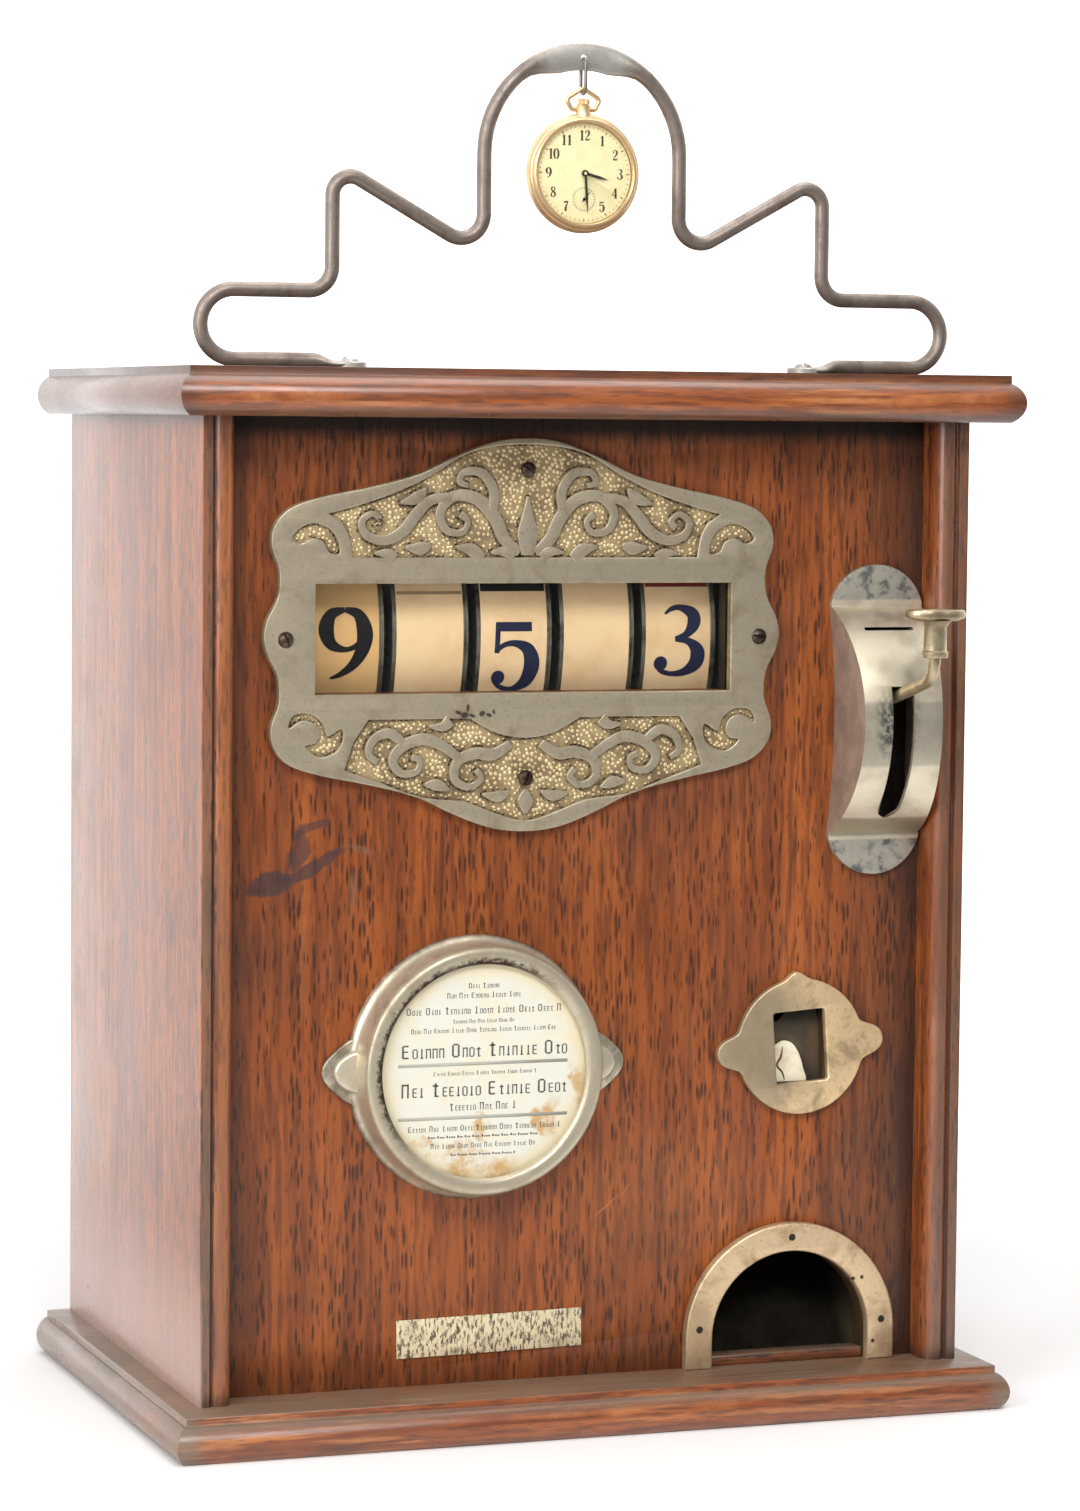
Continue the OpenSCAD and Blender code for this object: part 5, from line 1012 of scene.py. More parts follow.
set_inputs(tree, shader, Base_Color=shown, Metallic=0.8, Roughness=spread(tree, mottle, 0.3, 0.7, 0.40, 0.55),
           Normal=bump(tree, haze, 0.6 * MM, 0.15))
cheek_tarnish = metal("cheek_tarnish", (0.42, 0.32, 0.25, 1), (0.24, 0.17, 0.13, 1), 0.45, (0.35, 0.65, 0.7),
                      0.3, 0.5)
nickel = metal("nickel", NICKEL, NICKEL_DULL, 0.24, (0.5, 0.8, 0.7), 0.2)
guide = solid_copy("guide", "lever_guide")
GUIDE_FACE, GUIDE_CHEEK, GUIDE_EDGE = 0, 1, 2
dress(guide, "cabinet", "nickel", [guide_nickel, cheek_tarnish, nickel], "lever_guide")
# The lever slot is opened to its worn width with a rounded foot and a lowered head, and the coin slot is
# closed to a thin line
SLOT_HALF, SLOT_WORN = 3.7 * MM, 4.6 * MM
SLOT_TIP = 0.8 * MM
HEAD_DROP, HEAD_SLOPE = 0.8 * MM, 0.14
ON_EDGE = 0.02 * MM
slot_edge = [vert for vert in guide.data.vertices
             if abs(abs(vert.co.x - GUIDE_X) - SLOT_HALF) < ON_EDGE and abs(vert.co.z - GUIDE_Z) < BOW_HALF]
slot_foot = min(vert.co.z for vert in slot_edge)
slot_head = max(vert.co.z for vert in slot_edge)
for vert in slot_edge:
    drop = max(0.0, (slot_foot + SLOT_WORN - vert.co.z) / SLOT_WORN)
    half = max(SLOT_TIP, SLOT_WORN * math.sqrt(max(0.0, 1 - drop * drop)))
    vert.co.x = GUIDE_X + math.copysign(half, vert.co.x - GUIDE_X)
    if vert.co.z > slot_head - 0.1 * MM:
        vert.co.z -= HEAD_DROP
        vert.co.y -= HEAD_DROP * HEAD_SLOPE
COIN_HALF, COIN_Z, COIN_TALL = 10.1 * MM, 302.0 * MM, 1.5 * MM
COIN_SLOPE, COIN_CLOSE = 1.12, 0.5
for vert in guide.data.vertices:
    if abs(abs(vert.co.x - GUIDE_X) - COIN_HALF) < ON_EDGE and abs(vert.co.z - COIN_Z) < COIN_TALL:
        shift = (COIN_Z - vert.co.z) * COIN_CLOSE
        vert.co.y += COIN_SLOPE * shift
        vert.co.z += shift
soften(guide, 1.1 * MM, 3, edge_material=GUIDE_EDGE)
SIDEWAYS = 0.8
for face in guide.data.polygons:
    if face.material_index == GUIDE_FACE and abs(face.normal.x) > SIDEWAYS:
        face.material_index = GUIDE_CHEEK
lever_nickel = metal("lever_nickel", (0.52, 0.43, 0.28, 1), (0.22, 0.17, 0.10, 1), 0.3, (0.35, 0.7, 0.8),
                     0.4, 0.8)
dress(smooth_copy("lever_rod", "lever_arm"), "lever", "nickel", lever_nickel, "lever_arm")


# A turned piece set upright on its foot
def stand(piece, x, y, z):
    piece.data.transform(Matrix.Translation((x, y, z)) @ Matrix.Rotation(math.radians(-90), 4, "X"))
    return piece


# The thumb piece: a ferrule, and an oval pad with a waist at each long side, dished on top
thumb_low, thumb_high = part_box("thumb_piece")
thumb_x, thumb_y, _ = (thumb_low + thumb_high) / 2
FERRULE = [(0, 0), (2.6, 0), (4.6, 0), (5, 0.5), (5, 2.2), (4.4, 2.8), (4.3, 11.4), (5.2, 13), (6.4, 14),
           (0, 14)]
PAD_HALF_W, PAD_HALF_D = 12, 7.5
WAIST, WAIST_WIDE = 0.13, 0.3
# From the underside to the dish: share of the outline, height
PAD_RINGS = [(0.7, 13.8), (0.97, 15.0), (1.0, 15.6), (1.0, 16.6), (0.97, 17.6), (0.90, 18.0), (0.8, 17.7),
             (0.5, 16.6), (0.2, 16.2)]
pad_outline = []
for a in round_angles(96):
    waist = 1 - WAIST * math.exp(-((math.cos(a) / WAIST_WIDE) ** 2))
    pad_outline.append((PAD_HALF_W * waist * math.cos(a), PAD_HALF_D * waist * math.sin(a)))
pad = loft("thumb_pad", [[(thumb_x + x * share * MM, thumb_y + y * share * MM, thumb_low.z + height * MM)
                          for x, y in pad_outline] for share, height in PAD_RINGS])
ferrule = stand(turned("ferrule", FERRULE, (0, 0), 0, 48), thumb_x, thumb_y, thumb_low.z)
dress(join("thumb", [ferrule, pad]), "lever", "nickel", lever_nickel, "thumb_piece")


# Card bezel
# A deep nickel drum, spun from sheet, with a rounded rim and two stepped ears; behind its glass
# lies a printed award card, foxed and stained at the foot. Shade is painted in patches under the rim's upper
# left.
def off_axis(tree, place):
    return vector_calc(tree, "LENGTH", vector_calc(tree, "MULTIPLY", place, (1, 0, 1)))


bezel_low, bezel_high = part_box("card_bezel")
BEZEL_MIDDLE = front_middle(bezel_low, bezel_high)
BEZEL = [(43.3, 0), (50, 0), (50, 1.5), (49.7, 2.2), (48.8, 2.9), (47.9, 3.6), (47.5, 4.6), (47, 11.8),
         (46.9, 14), (46.6, 15.1), (45.8, 15.8), (44.6, 16), (42.2, 15.8), (41.2, 15.4), (40.5, 14.7),
         (40.3, 14.1), (43.3, 14.05)]
EAR = [(44, 13), (49, 12), (54, 8.6), (58.6, 4), (60, 0), (58.6, -4), (54, -8.6), (49, -12), (44, -13)]
EAR_STEP = [(44, 8.6), (49.6, 7.4), (54, 4.4), (56, 0), (54, -4.4), (49.6, -7.4), (44, -8.6)]
RUST = (0.17, 0.075, 0.026, 1)
LIP_DULL = (0.32, 0.275, 0.185, 1)
bezel_nickel, tree, shader = new_material("bezel_nickel")
centred = object_vector(tree, shift=(-BEZEL_MIDDLE[0], -PANEL_Y, -BEZEL_MIDDLE[1]))
place = xyz_of(tree, centred)
patches = noise(tree, object_vector(tree), 75, 6, 0.65, 0.4)
fine = noise(tree, object_vector(tree), 700, 4)
ragged_reach = calc(tree, "ADD", off_axis(tree, centred), times(tree, minus(tree, fine, 0.5), 5 * MM))
upper_left = spread(tree, minus(tree, place["Z"], place["X"]), -12 * MM, 30 * MM)
# Painted shade in patches on the inside of the rim, on its upper left
painted_shade_under_lip = times(tree, spread(tree, ragged_reach, 43.6 * MM, 41.0 * MM),
                  times(tree, spread(tree, patches, 0.3, 0.5, 0.5, 1.0), upper_left))
foot_line = times(tree, spread(tree, place["Y"], -4.5 * MM, -1.0 * MM, 0.0, 0.8),
                  spread(tree, patches, 0.3, 0.6))
rusty = times(tree, spread(tree, patches, 0.54, 0.68),
              spread(tree, place["X"], 10 * MM, -46 * MM, 0.05, 0.25))
shown = blend(tree, spread(tree, patches, 0.30, 0.75, 0.15, 0.6), NICKEL, NICKEL_DULL)
shown = blend(tree, spread(tree, place["Y"], -14.4 * MM, -15.4 * MM, 0.0, 0.45), shown, LIP_DULL)
shown = blend(tree, rusty, shown, RUST)
shown = blend(tree, painted_shade_under_lip, shown, GRIME_AND_SHADE)
shown = blend(tree, foot_line, shown, GRIME_AND_SHADE)
set_inputs(tree, shader, Base_Color=shown, Metallic=0.65,
           Roughness=spread(tree, patches, 0.3, 0.7, 0.28, 0.5),
           Normal=bump(tree, patches, 0.4 * MM, 0.25, bump(tree, fine, 0.04 * MM, 0.3)))
EAR_THICK, EAR_EDGE = 2.2 * MM, 0.7 * MM
STEP_FROM, STEP_TO, STEP_EDGE = 1 * MM, 4.6 * MM, 1.5 * MM
bezel = [turned("bezel", BEZEL, BEZEL_MIDDLE, PANEL_Y, 128)]
for side, (ear, step) in enumerate(((EAR, EAR_STEP), (mirror_x(EAR), mirror_x(EAR_STEP)))):
    bezel.append(plan_solid("ear_%d" % side, [smooth(ear, 4)], BEZEL_MIDDLE, PANEL_Y,
                            PANEL_Y - EAR_THICK, EAR_EDGE))
    bezel.append(plan_solid("ear_step_%d" % side, [smooth(step, 4)], BEZEL_MIDDLE, PANEL_Y - STEP_FROM,
                            PANEL_Y - STEP_TO, STEP_EDGE))
dress(join("bezel", bezel), "cabinet", "nickel", bezel_nickel, "card_bezel")

# The award card: cream stock with brown water stains, two printed rules, and rows of made-up print
card_low, card_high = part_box("award_card")
CARD_FRONT = card_low.y
CARD_RADIUS = (card_high.x - card_low.x) / 2 / MM
CARD_WHITE = (0.64, 0.63, 0.56, 1)
CARD_YELLOW = (0.69, 0.56, 0.31, 1)
STAIN_BROWN = (0.46, 0.25, 0.062, 1)
# Place across and up from the card's middle, half sizes
STAINS = [(-6, -36, 11, 7), (6, -37, 8, 6), (-1, -21, 3.5, 6), (26, -19, 5, 8), (-24, -28, 7, 4),
          (38, -8, 4, 8)]
WANDER = 22
card_stock, tree, shader = new_material("award_card")
centred = object_vector(tree, shift=(-BEZEL_MIDDLE[0], 0, -BEZEL_MIDDLE[1]))
wander = node(tree, "ShaderNodeTexNoise", Vector=object_vector(tree), Scale=110.0, Detail=6.0, Roughness=0.65)
drift = vector_calc(tree, "MULTIPLY_ADD", wander.outputs["Color"], (WANDER * MM, 0, WANDER * MM), centred)
shown = blend(tree, spread(tree, wander.outputs[0], 0.4, 0.8, 0.0, 0.5), CARD_WHITE, CARD_YELLOW)
shown = blend(tree, spread(tree, off_axis(tree, centred), 33 * MM, 42 * MM, 0.0, 0.75), shown, CARD_YELLOW)
for x, z, half_x, half_z in STAINS:
    spot = node(tree, "ShaderNodeMapping", {"vector_type": "TEXTURE"}, Vector=drift,
                Location=((x + WANDER / 2) * MM, 0, (z + WANDER / 2) * MM),
                Scale=(half_x * MM, 1, half_z * MM))
    wet = spread(tree, vector_calc(tree, "LENGTH", spot.outputs[0]), 1.25, 0.55, 0.0, 0.85)
    patchy = spread(tree, wander.outputs[0], 0.35, 0.62, 0.15, 1.0)
    shown = blend(tree, times(tree, wet, patchy), shown, STAIN_BROWN)
set_inputs(tree, shader, Base_Color=shown, Roughness=0.7)
card = turned("card", [(0, 0), (CARD_RADIUS, 0), (CARD_RADIUS, 1), (0, 1)], BEZEL_MIDDLE, card_high.y)
dress(card, "cabinet", "card", card_stock, "award_card")

# Print on the card: thin bars, each with its own size
tree, inputs = new_tree("greeked_print", {"Thickness": "Float", "Material": "Material"})
size = node(tree, "GeometryNodeInputNamedAttribute", {"data_type": "FLOAT_VECTOR"}, Name="size")
thick = node(tree, "ShaderNodeCombineXYZ", X=1.0, Y=inputs["Thickness"], Z=1.0)
points = node(tree, "GeometryNodeMeshToPoints", Mesh=inputs["Geometry"])
bars = node(tree, "GeometryNodeInstanceOnPoints", Points=points.outputs[0],
            Instance=node(tree, "GeometryNodeMeshCube").outputs[0],
            Scale=vector_calc(tree, "MULTIPLY", size.outputs[0], thick.outputs[0]))
close_tree(tree, bars.outputs[0], inputs["Material"])
INK_THICK = 0.06 * MM
INK_Y = CARD_FRONT - 0.03 * MM


def print_bars(name, bars, ink):
    piece = loose_points(name, [from_point(BEZEL_MIDDLE, x, INK_Y, z) for x, z, _, _ in bars], "size",
                         [(wide * MM, 1, tall * MM) for _, _, wide, tall in bars])
    dress(run_tree(piece, tree, Thickness=INK_THICK, Material=ink), "cabinet", "card", ())


# Each made-up letter is a few bars: place across and up, width and height, in shares of the row's height
LETTERS = [[(-0.22, 0, 0.13, 1), (0.2, 0, 0.13, 1), (0, 0.43, 0.4, 0.13)],
           [(-0.22, 0, 0.14, 0.8), (0.22, 0, 0.14, 0.8), (0, 0.44, 0.36, 0.12), (0, -0.44, 0.36, 0.12)],
           [(0, 0, 0.15, 1), (0, -0.44, 0.34, 0.1)],
           [(-0.2, 0, 0.14, 0.86), (0.02, 0.43, 0.4, 0.12), (0, 0.02, 0.36, 0.1), (0.02, -0.43, 0.4, 0.12)],
           [(0, 0, 0.15, 1), (0, 0.3, 0.44, 0.12), (0.12, -0.44, 0.24, 0.1)]]
BLOCK = [(0, 0, 0.46, 0.7)]
SMALL_PRINT = 1.4
LOW_LETTER = 0.7
LETTER_PITCH, WORD_GAP = 0.72, 0.55
# Height of the row, half its length, height of the letters
ROWS = [(32.2, 6.5, 2.0), (28.6, 15, 2.1), (23.0, 31, 2.7), (18.9, 12.5, 1.5), (15.6, 29, 1.8),
        (8.0, 33.5, 5.2), (-0.6, 20, 1.5), (-6.6, 33.5, 5.2), (-13.2, 14, 2.8), (-21.2, 30, 2.2),
        (-24.4, 22, 1.3), (-27.8, 21, 1.9), (-31.2, 13, 1.2)]
# A fixed run of numbers picks each letter and the length of each word, whose first letter is the tallest
SHORTEST_WORD, WORD_LENGTHS = 3, 5
bars = []
step = 0
for height, half, tall in ROWS:
    x = -half
    left = 0
    while x < half:
        step = (step * 73 + 41) % 997
        if left == 0:
            left = SHORTEST_WORD + step % WORD_LENGTHS
            x += WORD_GAP * tall
            size, base_line = 1.0, 0.0
        letter = BLOCK if tall < SMALL_PRINT else LETTERS[step % len(LETTERS)]
        line_z, letter_tall = height + base_line * tall, tall * size
        bars += [(x + a * letter_tall, line_z + b * letter_tall, wide * letter_tall, high * letter_tall)
                 for a, b, wide, high in letter]
        x += LETTER_PITCH * letter_tall
        size, base_line = LOW_LETTER, (LOW_LETTER - 1) / 2
        left -= 1
print_bars("card_print", bars, plain("card_ink", (0.11, 0.108, 0.10, 1), 0.7))
RULES = [2.8, -17.3]
RULE_LONG, RULE_TALL = 67, 1.2
print_bars("card_rules", [(0, height, RULE_LONG, RULE_TALL) for height in RULES],
           plain("rule_ink", (0.38, 0.38, 0.33, 1), 0.7))
PANE_GAP = 0.2 * MM
card_pane = smooth_copy("card_pane", "card_glass")
for vert in card_pane.data.vertices:
    vert.co.y = min(vert.co.y, CARD_FRONT - PANE_GAP)
dress(card_pane, "cabinet", "glass", clear_glass("card_glass", 0.1), "card_glass")

# Coin view
# A stamped nickel disc with a small peak and two round ears, fixed over a window in the panel. A torn
# slip of paper has lodged behind the window's lower corner. Behind it a dark card stands in for the shaded
# inside, with painted shade at its top.
view_low, view_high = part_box("coin_view_plate")
VIEW_MIDDLE = front_middle(view_low, view_high)
VIEW_X, VIEW_Z = VIEW_MIDDLE[0] / MM, VIEW_MIDDLE[1] / MM
VIEW_R = 26.3
VIEW_TURN = math.radians(-4)
VIEW_EAR_OUT, VIEW_EAR_R = 28.6, 6.2
PEAK, PEAK_HALF = 3.4, math.radians(11)


def view_radius(a):
    r = VIEW_R
    for ear_angle in (0, math.pi):
        off = math.sin(a - ear_angle) * VIEW_EAR_OUT
        if abs(off) < VIEW_EAR_R and math.cos(a - ear_angle) > 0:
            r = max(r, math.cos(a - ear_angle) * VIEW_EAR_OUT + math.sqrt(VIEW_EAR_R ** 2 - off ** 2))
    from_top = abs(a - math.pi / 2)
    if from_top < PEAK_HALF:
        r = max(r, VIEW_R + PEAK * (1 - from_top / PEAK_HALF))
    return r


VIEW_ROUNDING = 3
view_angles = round_angles(180)
view_reach = [view_radius(a) for a in view_angles]
for _ in range(VIEW_ROUNDING):
    before, after = view_reach[-1:] + view_reach[:-1], view_reach[1:] + view_reach[:1]
    view_reach = [sum(near) / 3 for near in zip(before, view_reach, after)]
view_outline = [(r * math.cos(a), r * math.sin(a)) for a, r in zip(view_angles, view_reach)]
VIEW_WINDOW = [(-10.7, -13.2), (-10.0, -13.9), (10.0, -13.9), (10.7, -13.2), (10.7, 13.2), (10.0, 13.9),
               (-10.0, 13.9), (-10.7, 13.2)]
VIEW_DULL = (0.27, 0.225, 0.155, 1)
view_marks = [mark(VIEW_DULL, 0.75, VIEW_X - 18, VIEW_Z, 30, 40, 0.4, ragged=16)]
view_nickel = metal("view_nickel", (0.76, 0.55, 0.315, 1), (0.20, 0.145, 0.085, 1), 0.36, (0.45, 0.7, 0.7),
                    0.5, 0.65, marks=view_marks)


# A flat piece of the coin view, turned with it
def view_piece(name, loops, back, front, edge):
    return plan_solid(name, loops, VIEW_MIDDLE, back, front, edge, VIEW_TURN)


view_plate = view_piece("coin_view", [view_outline, VIEW_WINDOW], PANEL_Y, view_low.y, 0.7 * MM)
dress(view_plate, "cabinet", "nickel", view_nickel, "coin_view_plate")
SLIP = [(-10.4, -15), (2.6, -15), (2.4, -9), (1.0, -3.4), (-1.6, 0.8), (-5.2, 2.2), (-8.4, 1.0), (-10.4, -1)]
SLIP_CRACK = [(-5.6, -13, 0.4), (-6.4, -10, 0.8), (-8.4, -7, 0.9), (-6.6, -4, 0.9), (-5.6, 0, 0.3)]
BACKING = [(-10.6, -15), (10.6, -15), (10.6, 11), (6, 13.6), (-2, 13), (-6, 9.5), (-10.6, 8)]
BACKING_BROWN = (0.085, 0.048, 0.022, 1)
BACKING_TAN = (0.14, 0.105, 0.055, 1)
slip_front = PANEL_Y + 1.6 * MM
backing_front = slip_front + 3.0 * MM
PAPER = 0.6 * MM
slip_paper = old_card("paper_slip", (0.70, 0.645, 0.50, 1), (0.50, 0.39, 0.24, 1), 0.8, 140)
# Brown and tan on the dark backing card, and painted shade at its top under the window's upper edge
backing_marks = [mark(BACKING_BROWN, 0.8, VIEW_X + 9, VIEW_Z, 5, 13, ragged=4),
              mark(BACKING_TAN, 0.7, VIEW_X - 4, VIEW_Z - 2, 11, 8, ragged=4),
              mark(OAK_PAINTED_SHADE, 0.75, VIEW_X, VIEW_Z + 14, 14, 7, ragged=4)]
backing_card = metal("backing_card", (0.048, 0.036, 0.022, 1), (0.030, 0.024, 0.016, 1), 0.8, (0.4, 0.7, 0.6),
                   metallic=0.0, dents=0.2, marks=backing_marks)
slip = view_piece("paper_slip", [smooth(SLIP, 5, True)], slip_front + PAPER, slip_front, 0.1 * MM)
dress(slip, "cabinet", "card", slip_paper)
backing = view_piece("paper_fold", [smooth(BACKING, 4, True)], backing_front + PAPER, backing_front, 0.1 * MM)
dress(backing, "cabinet", "card", backing_card)
# The crack is a line of painted shade across the slip
crack = view_piece("slip_crack", [stroke(SLIP_CRACK)], slip_front, slip_front - 0.05 * MM, 0.01 * MM)
dress(crack, "cabinet", "card", plain("crack_shade", (0.10, 0.07, 0.04, 1), 0.8))

# Payout
# A flat brass-plated arch with rounded edges, nailed round the mouth in the panel. Its legs are dull,
# and a few old nail holes show. The oak sill below it is one of the cabinet's boards.
arch_low, arch_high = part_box("payout_arch")
ARCH_X = (arch_low.x + arch_high.x) / 2
ARCH_OUT, ARCH_IN = 43.5, 32.5
ARCH_LEG = arch_high.z - ARCH_OUT * MM - arch_low.z
ARCH_MIDDLE = (ARCH_X, arch_low.z + ARCH_LEG)


def arch_line(r, steps=48):
    leg = ARCH_LEG / MM
    bow = [(r * math.cos(math.pi * k / steps), r * math.sin(math.pi * k / steps)) for k in range(steps + 1)]
    return [(r, -leg)] + bow + [(-r, -leg)]


ARCH_DULL = (0.26, 0.165, 0.085, 1)
OLD_HOLES = [(26, 20.6), (29.6, 20.9), (34.6, -4.4)]
arch_foot_z = arch_low.z / MM
arch_marks = [mark(ARCH_DULL, 0.55, arch_low.x / MM + 4, arch_foot_z + 12, 14, 34, ragged=30),
              mark(ARCH_DULL, 0.6, arch_high.x / MM - 4, arch_foot_z + 6, 10, 20, ragged=30)]
arch_marks += [mark(GRIME_AND_SHADE, 0.95, ARCH_MIDDLE[0] / MM + x, ARCH_MIDDLE[1] / MM + z, 0.9, 0.9, 0.7)
               for x, z in OLD_HOLES]
arch_brass = metal("arch_brass", (0.70, 0.525, 0.325, 1), (0.26, 0.15, 0.065, 1), 0.36, (0.48, 0.72, 0.65),
                   0.7, 0.65, marks=arch_marks)
arch_outline = arch_line(ARCH_OUT) + arch_line(ARCH_IN)[::-1]
band = plan_solid("arch_band", [arch_outline], ARCH_MIDDLE, PANEL_Y, arch_low.y, 0.9 * MM)
dress(band, "cabinet", "arch_metal", arch_brass, "payout_arch")
NAILS = [(-38, 4), (38, 4), (0, 38)]
nail_head = turned("nail_head", [(0, 0), (1.4, 0), (1.3, 0.15), (0.9, 0.25), (0, 0.3)], (0, 0), 0, 20)
nails = set_copies("arch_nails", nail_head, [from_point(ARCH_MIDDLE, x, arch_low.y, z) for x, z in NAILS],
                   [(0, 0, 0)] * len(NAILS), plain("nail_black", (0.018, 0.013, 0.010, 1), 0.6))
dress(nails, "cabinet", "iron", (), "payout_nails")

# Small plate
# A thin strip of tinned sheet low on the panel. It is worn bare and pitted all over, with a brown
# bloom in patches.
TIN = (0.73, 0.62, 0.405, 1)
TIN_PIT = (0.085, 0.060, 0.038, 1)
TIN_BLOOM = (0.35, 0.28, 0.17, 1)
tin, tree, shader = new_material("worn_tin")
pits = noise(tree, object_vector(tree, (900, 900, 330)), 1.0, 3, 0.7)
wear = noise(tree, object_vector(tree), 120, 5, 0.6)
shown = blend(tree, spread(tree, pits, 0.47, 0.60, 0.0, 0.95), TIN, TIN_PIT)
shown = blend(tree, spread(tree, wear, 0.5, 0.75, 0.0, 0.5), shown, TIN_BLOOM)
set_inputs(tree, shader, Base_Color=shown, Metallic=0.35, Roughness=0.45,
           Normal=bump(tree, pits, 0.1 * MM, 0.5))
dress(soften(solid_copy("tin_strip", "small_plate"), 0.2 * MM), "cabinet", "tin", tin, "small_plate")


# Watch hanger
# One brown steel rod, bent to a scalloped arch over the lid, hammered flat at the top, where an eye is
# drilled for the watch, and flat at the two feet, where slotted screws hold it to the lid.
def swept(name, line, radius, material, sides):
    mesh = bpy.data.meshes.new(name)
    mesh.from_pydata(line, [(k, k + 1) for k in range(len(line) - 1)], [])
    tree, inputs = new_tree(name, {"Radius": "Float", "Sides": "Int", "Material": "Material"})
    middle_line = node(tree, "GeometryNodeMeshToCurve", Mesh=inputs["Geometry"])
    ring = node(tree, "GeometryNodeCurvePrimitiveCircle", Radius=inputs["Radius"], Resolution=inputs["Sides"])
    tube = node(tree, "GeometryNodeCurveToMesh", Curve=middle_line.outputs[0],
                Profile_Curve=ring.outputs[0], Fill_Caps=True)
    close_tree(tree, tube.outputs[0], inputs["Material"])
    piece = run_tree(add_object(name, mesh), tree, Radius=radius, Sides=sides, Material=material)
    weld(piece.data)
    piece.data.set_sharp_from_angle(angle=math.radians(50))
    return piece


SAME_SPOT = 0.05


# A line bent at its corners, each given as place across, place up and radius of the bend
def bent(corners, step_deg=6):
    line = [Vector(corners[0][:2])]
    for before, corner, after in zip(corners, corners[1:], corners[2:]):
        here = Vector(corner[:2])
        into = (here - Vector(before[:2])).normalized()
        out = (Vector(after[:2]) - here).normalized()
        turn = math.atan2(into.x * out.y - into.y * out.x, into.dot(out))
        side = Vector((-into.y, into.x)) * (1 if turn > 0 else -1)
        middle = here - into * corner[2] * math.tan(abs(turn) / 2) + side * corner[2]
        first = math.atan2(-side.y, -side.x)
        steps = max(2, round(abs(math.degrees(turn)) / step_deg))
        for k in range(steps + 1):
            a = first + turn * k / steps
            spot = middle + corner[2] * Vector((math.cos(a), math.sin(a)))
            if (spot - line[-1]).length > SAME_SPOT:
                line.append(spot)
    line.append(Vector(corners[-1][:2]))
    return line


def ease(value, start, end):
    t = min(1.0, max(0.0, (value - start) / (end - start)))
    return t * t * (3 - 2 * t)


hanger_low, hanger_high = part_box("watch_hanger")
HANGER_Y = (hanger_low.y + hanger_high.y) / 2
LID_TOP = lid_high.z
ROD_R = 2.75
FOOT_X = 91
ARCH_HALF, ARCH_UP = 39, 116.8
# From the foot to the top of the arch. The points with no bend let the flat of the foot end close to its pad.
LEFT_HALF = [(-FOOT_X, 0, 0), (-97, 0, 0), (-99, 0, 0), (-101, 0, 0), (-103, 0, 0), (-105, 0, 0),
             (-148.3, 0, 12.8), (-148.3, 25.6, 12.8), (-98, 25.6, 9), (-98, 72.6, 7), (-39, 39.8, 9),
             (-39, ARCH_UP, ARCH_HALF)]
rod_line = bent(LEFT_HALF + mirror_x(LEFT_HALF)[::-1])
foot_z = LID_TOP + ROD_R * MM
EYE_Z = foot_z + (ARCH_UP - 2) * MM
EYE_R, EYE_SINK = 1.5 * MM, 0.7 * MM
STEEL_DARK = (0.10, 0.072, 0.056, 1)
HAMMERED = (0.47, 0.45, 0.41, 1)
hammer_marks = [mark(HAMMERED, 0.85, 0, EYE_Z / MM - 1, 24, 13, 0.5, ragged=10)]
hammer_marks += [mark(HAMMERED, 0.7, side * (FOOT_X + 1), LID_TOP / MM, 11, 9, 0.5, ragged=6)
                 for side in (-1, 1)]
brown_steel = metal("brown_steel", (0.25, 0.205, 0.175, 1), STEEL_DARK, 0.40, (0.42, 0.7, 0.6), 0.3, 0.75,
                    dents=0.6, marks=hammer_marks)
bright_steel = metal("bright_steel", (0.50, 0.48, 0.44, 1), STEEL_DARK, 0.34, (0.4, 0.7, 0.7), 0.4, 0.6)
hook_steel = metal("hook_steel", (0.22, 0.20, 0.18, 1), STEEL_DARK, 0.3, (0.4, 0.7, 0.7), 0.3, 0.7)
hanger = swept("hanger", [(spot.x * MM, HANGER_Y, foot_z + spot.y * MM) for spot in rod_line], ROD_R * MM,
               brown_steel, 24)
TOP_WIDEN, TOP_THIN, TOP_SINK = 0.9, 0.52, 2.0 * MM
TOP_FLAT_FROM, TOP_FLAT_TO = 24 * MM, 10 * MM
FOOT_WIDEN, FOOT_THIN = 1.0, 0.5
FOOT_FLAT_FROM, FOOT_FLAT_TO = 105 * MM, 97 * MM
bow_r = ARCH_HALF * MM
arch_middle = Vector((0, foot_z + ARCH_UP * MM - bow_r))
top_from = arch_middle.y + 0.6 * bow_r
foot_to = foot_z + 2 * ROD_R * MM
for vert in hanger.data.vertices:
    x, y, z = vert.co
    if z > top_from:
        flat = ease(abs(x), TOP_FLAT_FROM, TOP_FLAT_TO)
        arm = Vector((x, z)) - arch_middle
        reach = bow_r + (arm.length - bow_r) * (1 + TOP_WIDEN * flat) - TOP_SINK * flat
        spot = arch_middle + arm.normalized() * reach
        vert.co = (spot.x, HANGER_Y + (y - HANGER_Y) * (1 - TOP_THIN * flat), spot.y)
    elif z < foot_to:
        flat = ease(abs(x), FOOT_FLAT_FROM, FOOT_FLAT_TO)
        vert.co = (x, HANGER_Y + (y - HANGER_Y) * (1 + FOOT_WIDEN * flat),
                   LID_TOP + (z - LID_TOP) * (1 - FOOT_THIN * flat))
work = bmesh.new()
bmesh.ops.create_cone(work, cap_ends=True, segments=32, radius1=EYE_R, radius2=EYE_R, depth=10 * MM,
                      matrix=Matrix.Translation((0, HANGER_Y, EYE_Z - EYE_SINK))
                      @ Matrix.Rotation(math.radians(90), 4, "X"))
cut_away(hanger, close_work("drill", work))
dress(hanger, "cabinet", "steel", (), "watch_hanger")
PAD_TOP = 2.4
